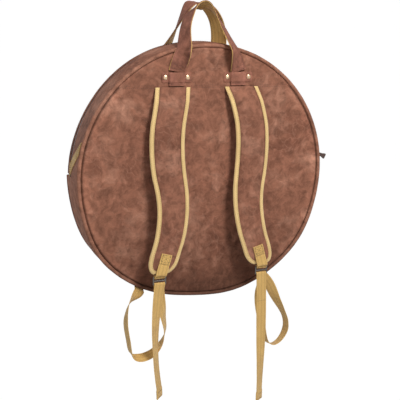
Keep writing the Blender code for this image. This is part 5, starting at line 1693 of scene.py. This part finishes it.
def make_pocket_slider(x, y, z):
    """The slider's two plates with an arch, and a pull with its link, laid over the zip."""
    def block(start, end, half, low, high, round_by):
        ends = (x + start * MM, x + end * MM), (y - half * MM, y + half * MM)
        return soft_block(*ends, (low, high), round_by * MM)

    top, bow = z + 1.3 * MM, z + 1.9 * MM
    arc = [(x + a * 4 * MM, y, bow + 1.3 * MM * math.cos(a * PI / 2))
           for a in np.linspace(-1, 1, 9)]
    shape = without_uvs([
        block(-6, 6, 4.5, z, top, 0.4),
        block(-5, 4.6, 3.6, top, z + 2.3 * MM, 0.4),
        tube(arc, 0.5 * MM, 8, up=(0, 1, 0)),
    ])
    make_piece("pocket_slider_body", shape, "Dark steel", "pocket_slider", ("pocket_slider",))
    hinge, half = z + 4.6 * MM, 0.7 * MM
    ring = [(x - 2 * MM + 2.2 * MM * math.cos(a), y + 2.6 * MM * math.sin(a), hinge)
            for a in np.linspace(0, 2 * PI, 20, endpoint=False)]
    link = tube(ring, 0.55 * MM, 8, closed=True)
    shape = without_uvs([link, block(-30, -3.6, 4, hinge - half, hinge + half, 0.6)])
    make_piece("pocket_pull_tag", shape, "Dark pull", "pocket_pull", ("pocket_pull",))


# The stage


LAMPS = (
    ("key_lamp", (0.38, -1.8, 1.30), 50.0, 0.6),
    ("fill_lamp", (-1.7, -2.2, 0.9), 12.0, 1.6),
    ("back_lamp", (-1.4, 2.2, 0.2), 14.0, 1.6),
)


def make_stage():
    """Make the floor with its backdrop, the lamps and the camera."""
    drop = -sizes().floor_drop
    rows = [(y, drop) for y in np.linspace(-9, 5, 15)]
    bends = np.linspace(0.1, PI / 2, 10)
    rows += [(5 + 3 * math.sin(a), drop + 3 - 3 * math.cos(a)) for a in bends]
    rows += [(8, drop + 3 + k) for k in (1, 3, 6)]
    verts = [(x, y, z) for y, z in rows for x in np.linspace(-11, 11, 12)]
    mesh = bpy.data.meshes.new("floor")
    mesh.from_pydata(verts, [], grid_faces(len(rows), 12))
    mesh.shade_smooth()
    n = Look("Pale floor")
    n.feed(colours().floor[:], n.inputs["Base Color"])
    n.feed(0.9, n.inputs["Roughness"])
    white = n.put("Emission", {"Color": (1, 1, 1, 1), "Strength": 1.06}).outputs[0]
    shader = n.tree.nodes["Principled BSDF"].outputs[0]
    mixed = n.put("MixShader", {0: n.times(n.seen(), 0.93), 1: shader, 2: white})
    n.feed(mixed.outputs[0], n.tree.nodes["Material Output"].inputs["Surface"])
    mesh.materials.append(n.material)
    link_object("floor", mesh)
    world = bpy.data.worlds.new("Studio")
    world.use_nodes = True
    bpy.context.scene.world = world
    w = Nodes(world.node_tree)
    back = world.node_tree.nodes["Background"].inputs
    w.feed(w.stretch(w.seen(), 0.0, 1.0, 0.26, 1.0), back["Strength"])
    back["Color"].default_value = (1, 1, 1, 1)
    for name, place, energy, size in LAMPS:
        lamp = bpy.data.lights.new(name, "AREA")
        lamp.energy, lamp.size = energy, size
        holder = link_object(name, lamp)
        holder.location = place
        aim = Vector((0, 0, BODY_LIFT - 0.05)) - Vector(place)
        holder.rotation_mode = "QUATERNION"
        holder.rotation_quaternion = aim.to_track_quat("-Z", "Y")
    make_camera()


def make_camera():
    """The photograph's camera, as fitted to the bag's round seams."""
    right = Vector((0.9318278, -0.3623831, 0.0193767))
    down = Vector((-0.0655094, -0.2204867, -0.9731876))
    forward = Vector((0.3569390, 0.9055739, -0.2291951))
    matrix = Matrix((right, -down, -forward)).transposed().to_4x4()
    matrix.translation = Vector((-0.6555421, -1.6857708, 0.3576710 + BODY_LIFT))
    data = bpy.data.cameras.new("photo_camera")
    data.sensor_width = 36
    data.lens = 788.418 / 400 * data.sensor_width
    data.clip_start, data.clip_end = 0.05, 60
    camera = link_object("photo_camera", data)
    camera.matrix_world = matrix
    bpy.context.scene.camera = camera
    bpy.context.scene.view_settings.view_transform = "Standard"


# The add-on's operators and panel


def operator(maker, label):
    """An operator class that runs one maker of pieces and has its description."""

    def execute(self, context):
        maker()
        return {"FINISHED"}

    name = maker.__name__
    members = {"bl_idname": "cymbal_bag." + name, "bl_label": label, "__doc__": maker.__doc__}
    return type("CYMBAL_BAG_OT_" + name, (bpy.types.Operator,), {**members, "execute": execute})


OPERATORS = tuple(operator(maker, label) for maker, label in (
    (make_stage, "Stage"), (make_back, "Back"), (make_front, "Front and lid"),
    (make_gusset, "Gusset"), (make_welts, "Piping"), (make_dividers, "Dividers"),
    (make_zip, "Zip"), (make_slider, "Zip slider"), (make_end_tabs, "Zip end tabs"),
    (make_handles, "Handles"), (make_tabs, "Tabs and rivets"), (make_straps, "Shoulder straps"),
    (make_pocket, "Pocket"),
))


class CYMBAL_BAG_PT_panel(bpy.types.Panel):
    bl_idname = "CYMBAL_BAG_PT_panel"
    bl_label = "Cymbal bag"
    bl_space_type = "VIEW_3D"
    bl_region_type = "UI"
    bl_category = "Cymbal bag"

    def draw(self, context):
        layout = self.layout
        for made in OPERATORS:
            layout.operator(made.bl_idname)
        for group in (context.scene.cymbal_bag_sizes, context.scene.cymbal_bag_colours):
            for key in group.bl_rna.properties.keys():
                if key not in ("rna_type", "name"):
                    layout.prop(group, key)


CLASSES = (BagColours, BagSizes, *OPERATORS, CYMBAL_BAG_PT_panel)


def register():
    for made in CLASSES:
        bpy.utils.register_class(made)
    bpy.types.Scene.cymbal_bag_colours = bpy.props.PointerProperty(type=BagColours)
    bpy.types.Scene.cymbal_bag_sizes = bpy.props.PointerProperty(type=BagSizes)


def unregister():
    del bpy.types.Scene.cymbal_bag_sizes
    del bpy.types.Scene.cymbal_bag_colours
    for made in reversed(CLASSES):
        bpy.utils.unregister_class(made)


def main():
    register()
    for made in OPERATORS:
        getattr(bpy.ops.cymbal_bag, made.bl_idname.split(".")[1])()
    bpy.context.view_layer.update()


if __name__ == "__main__":
    main()
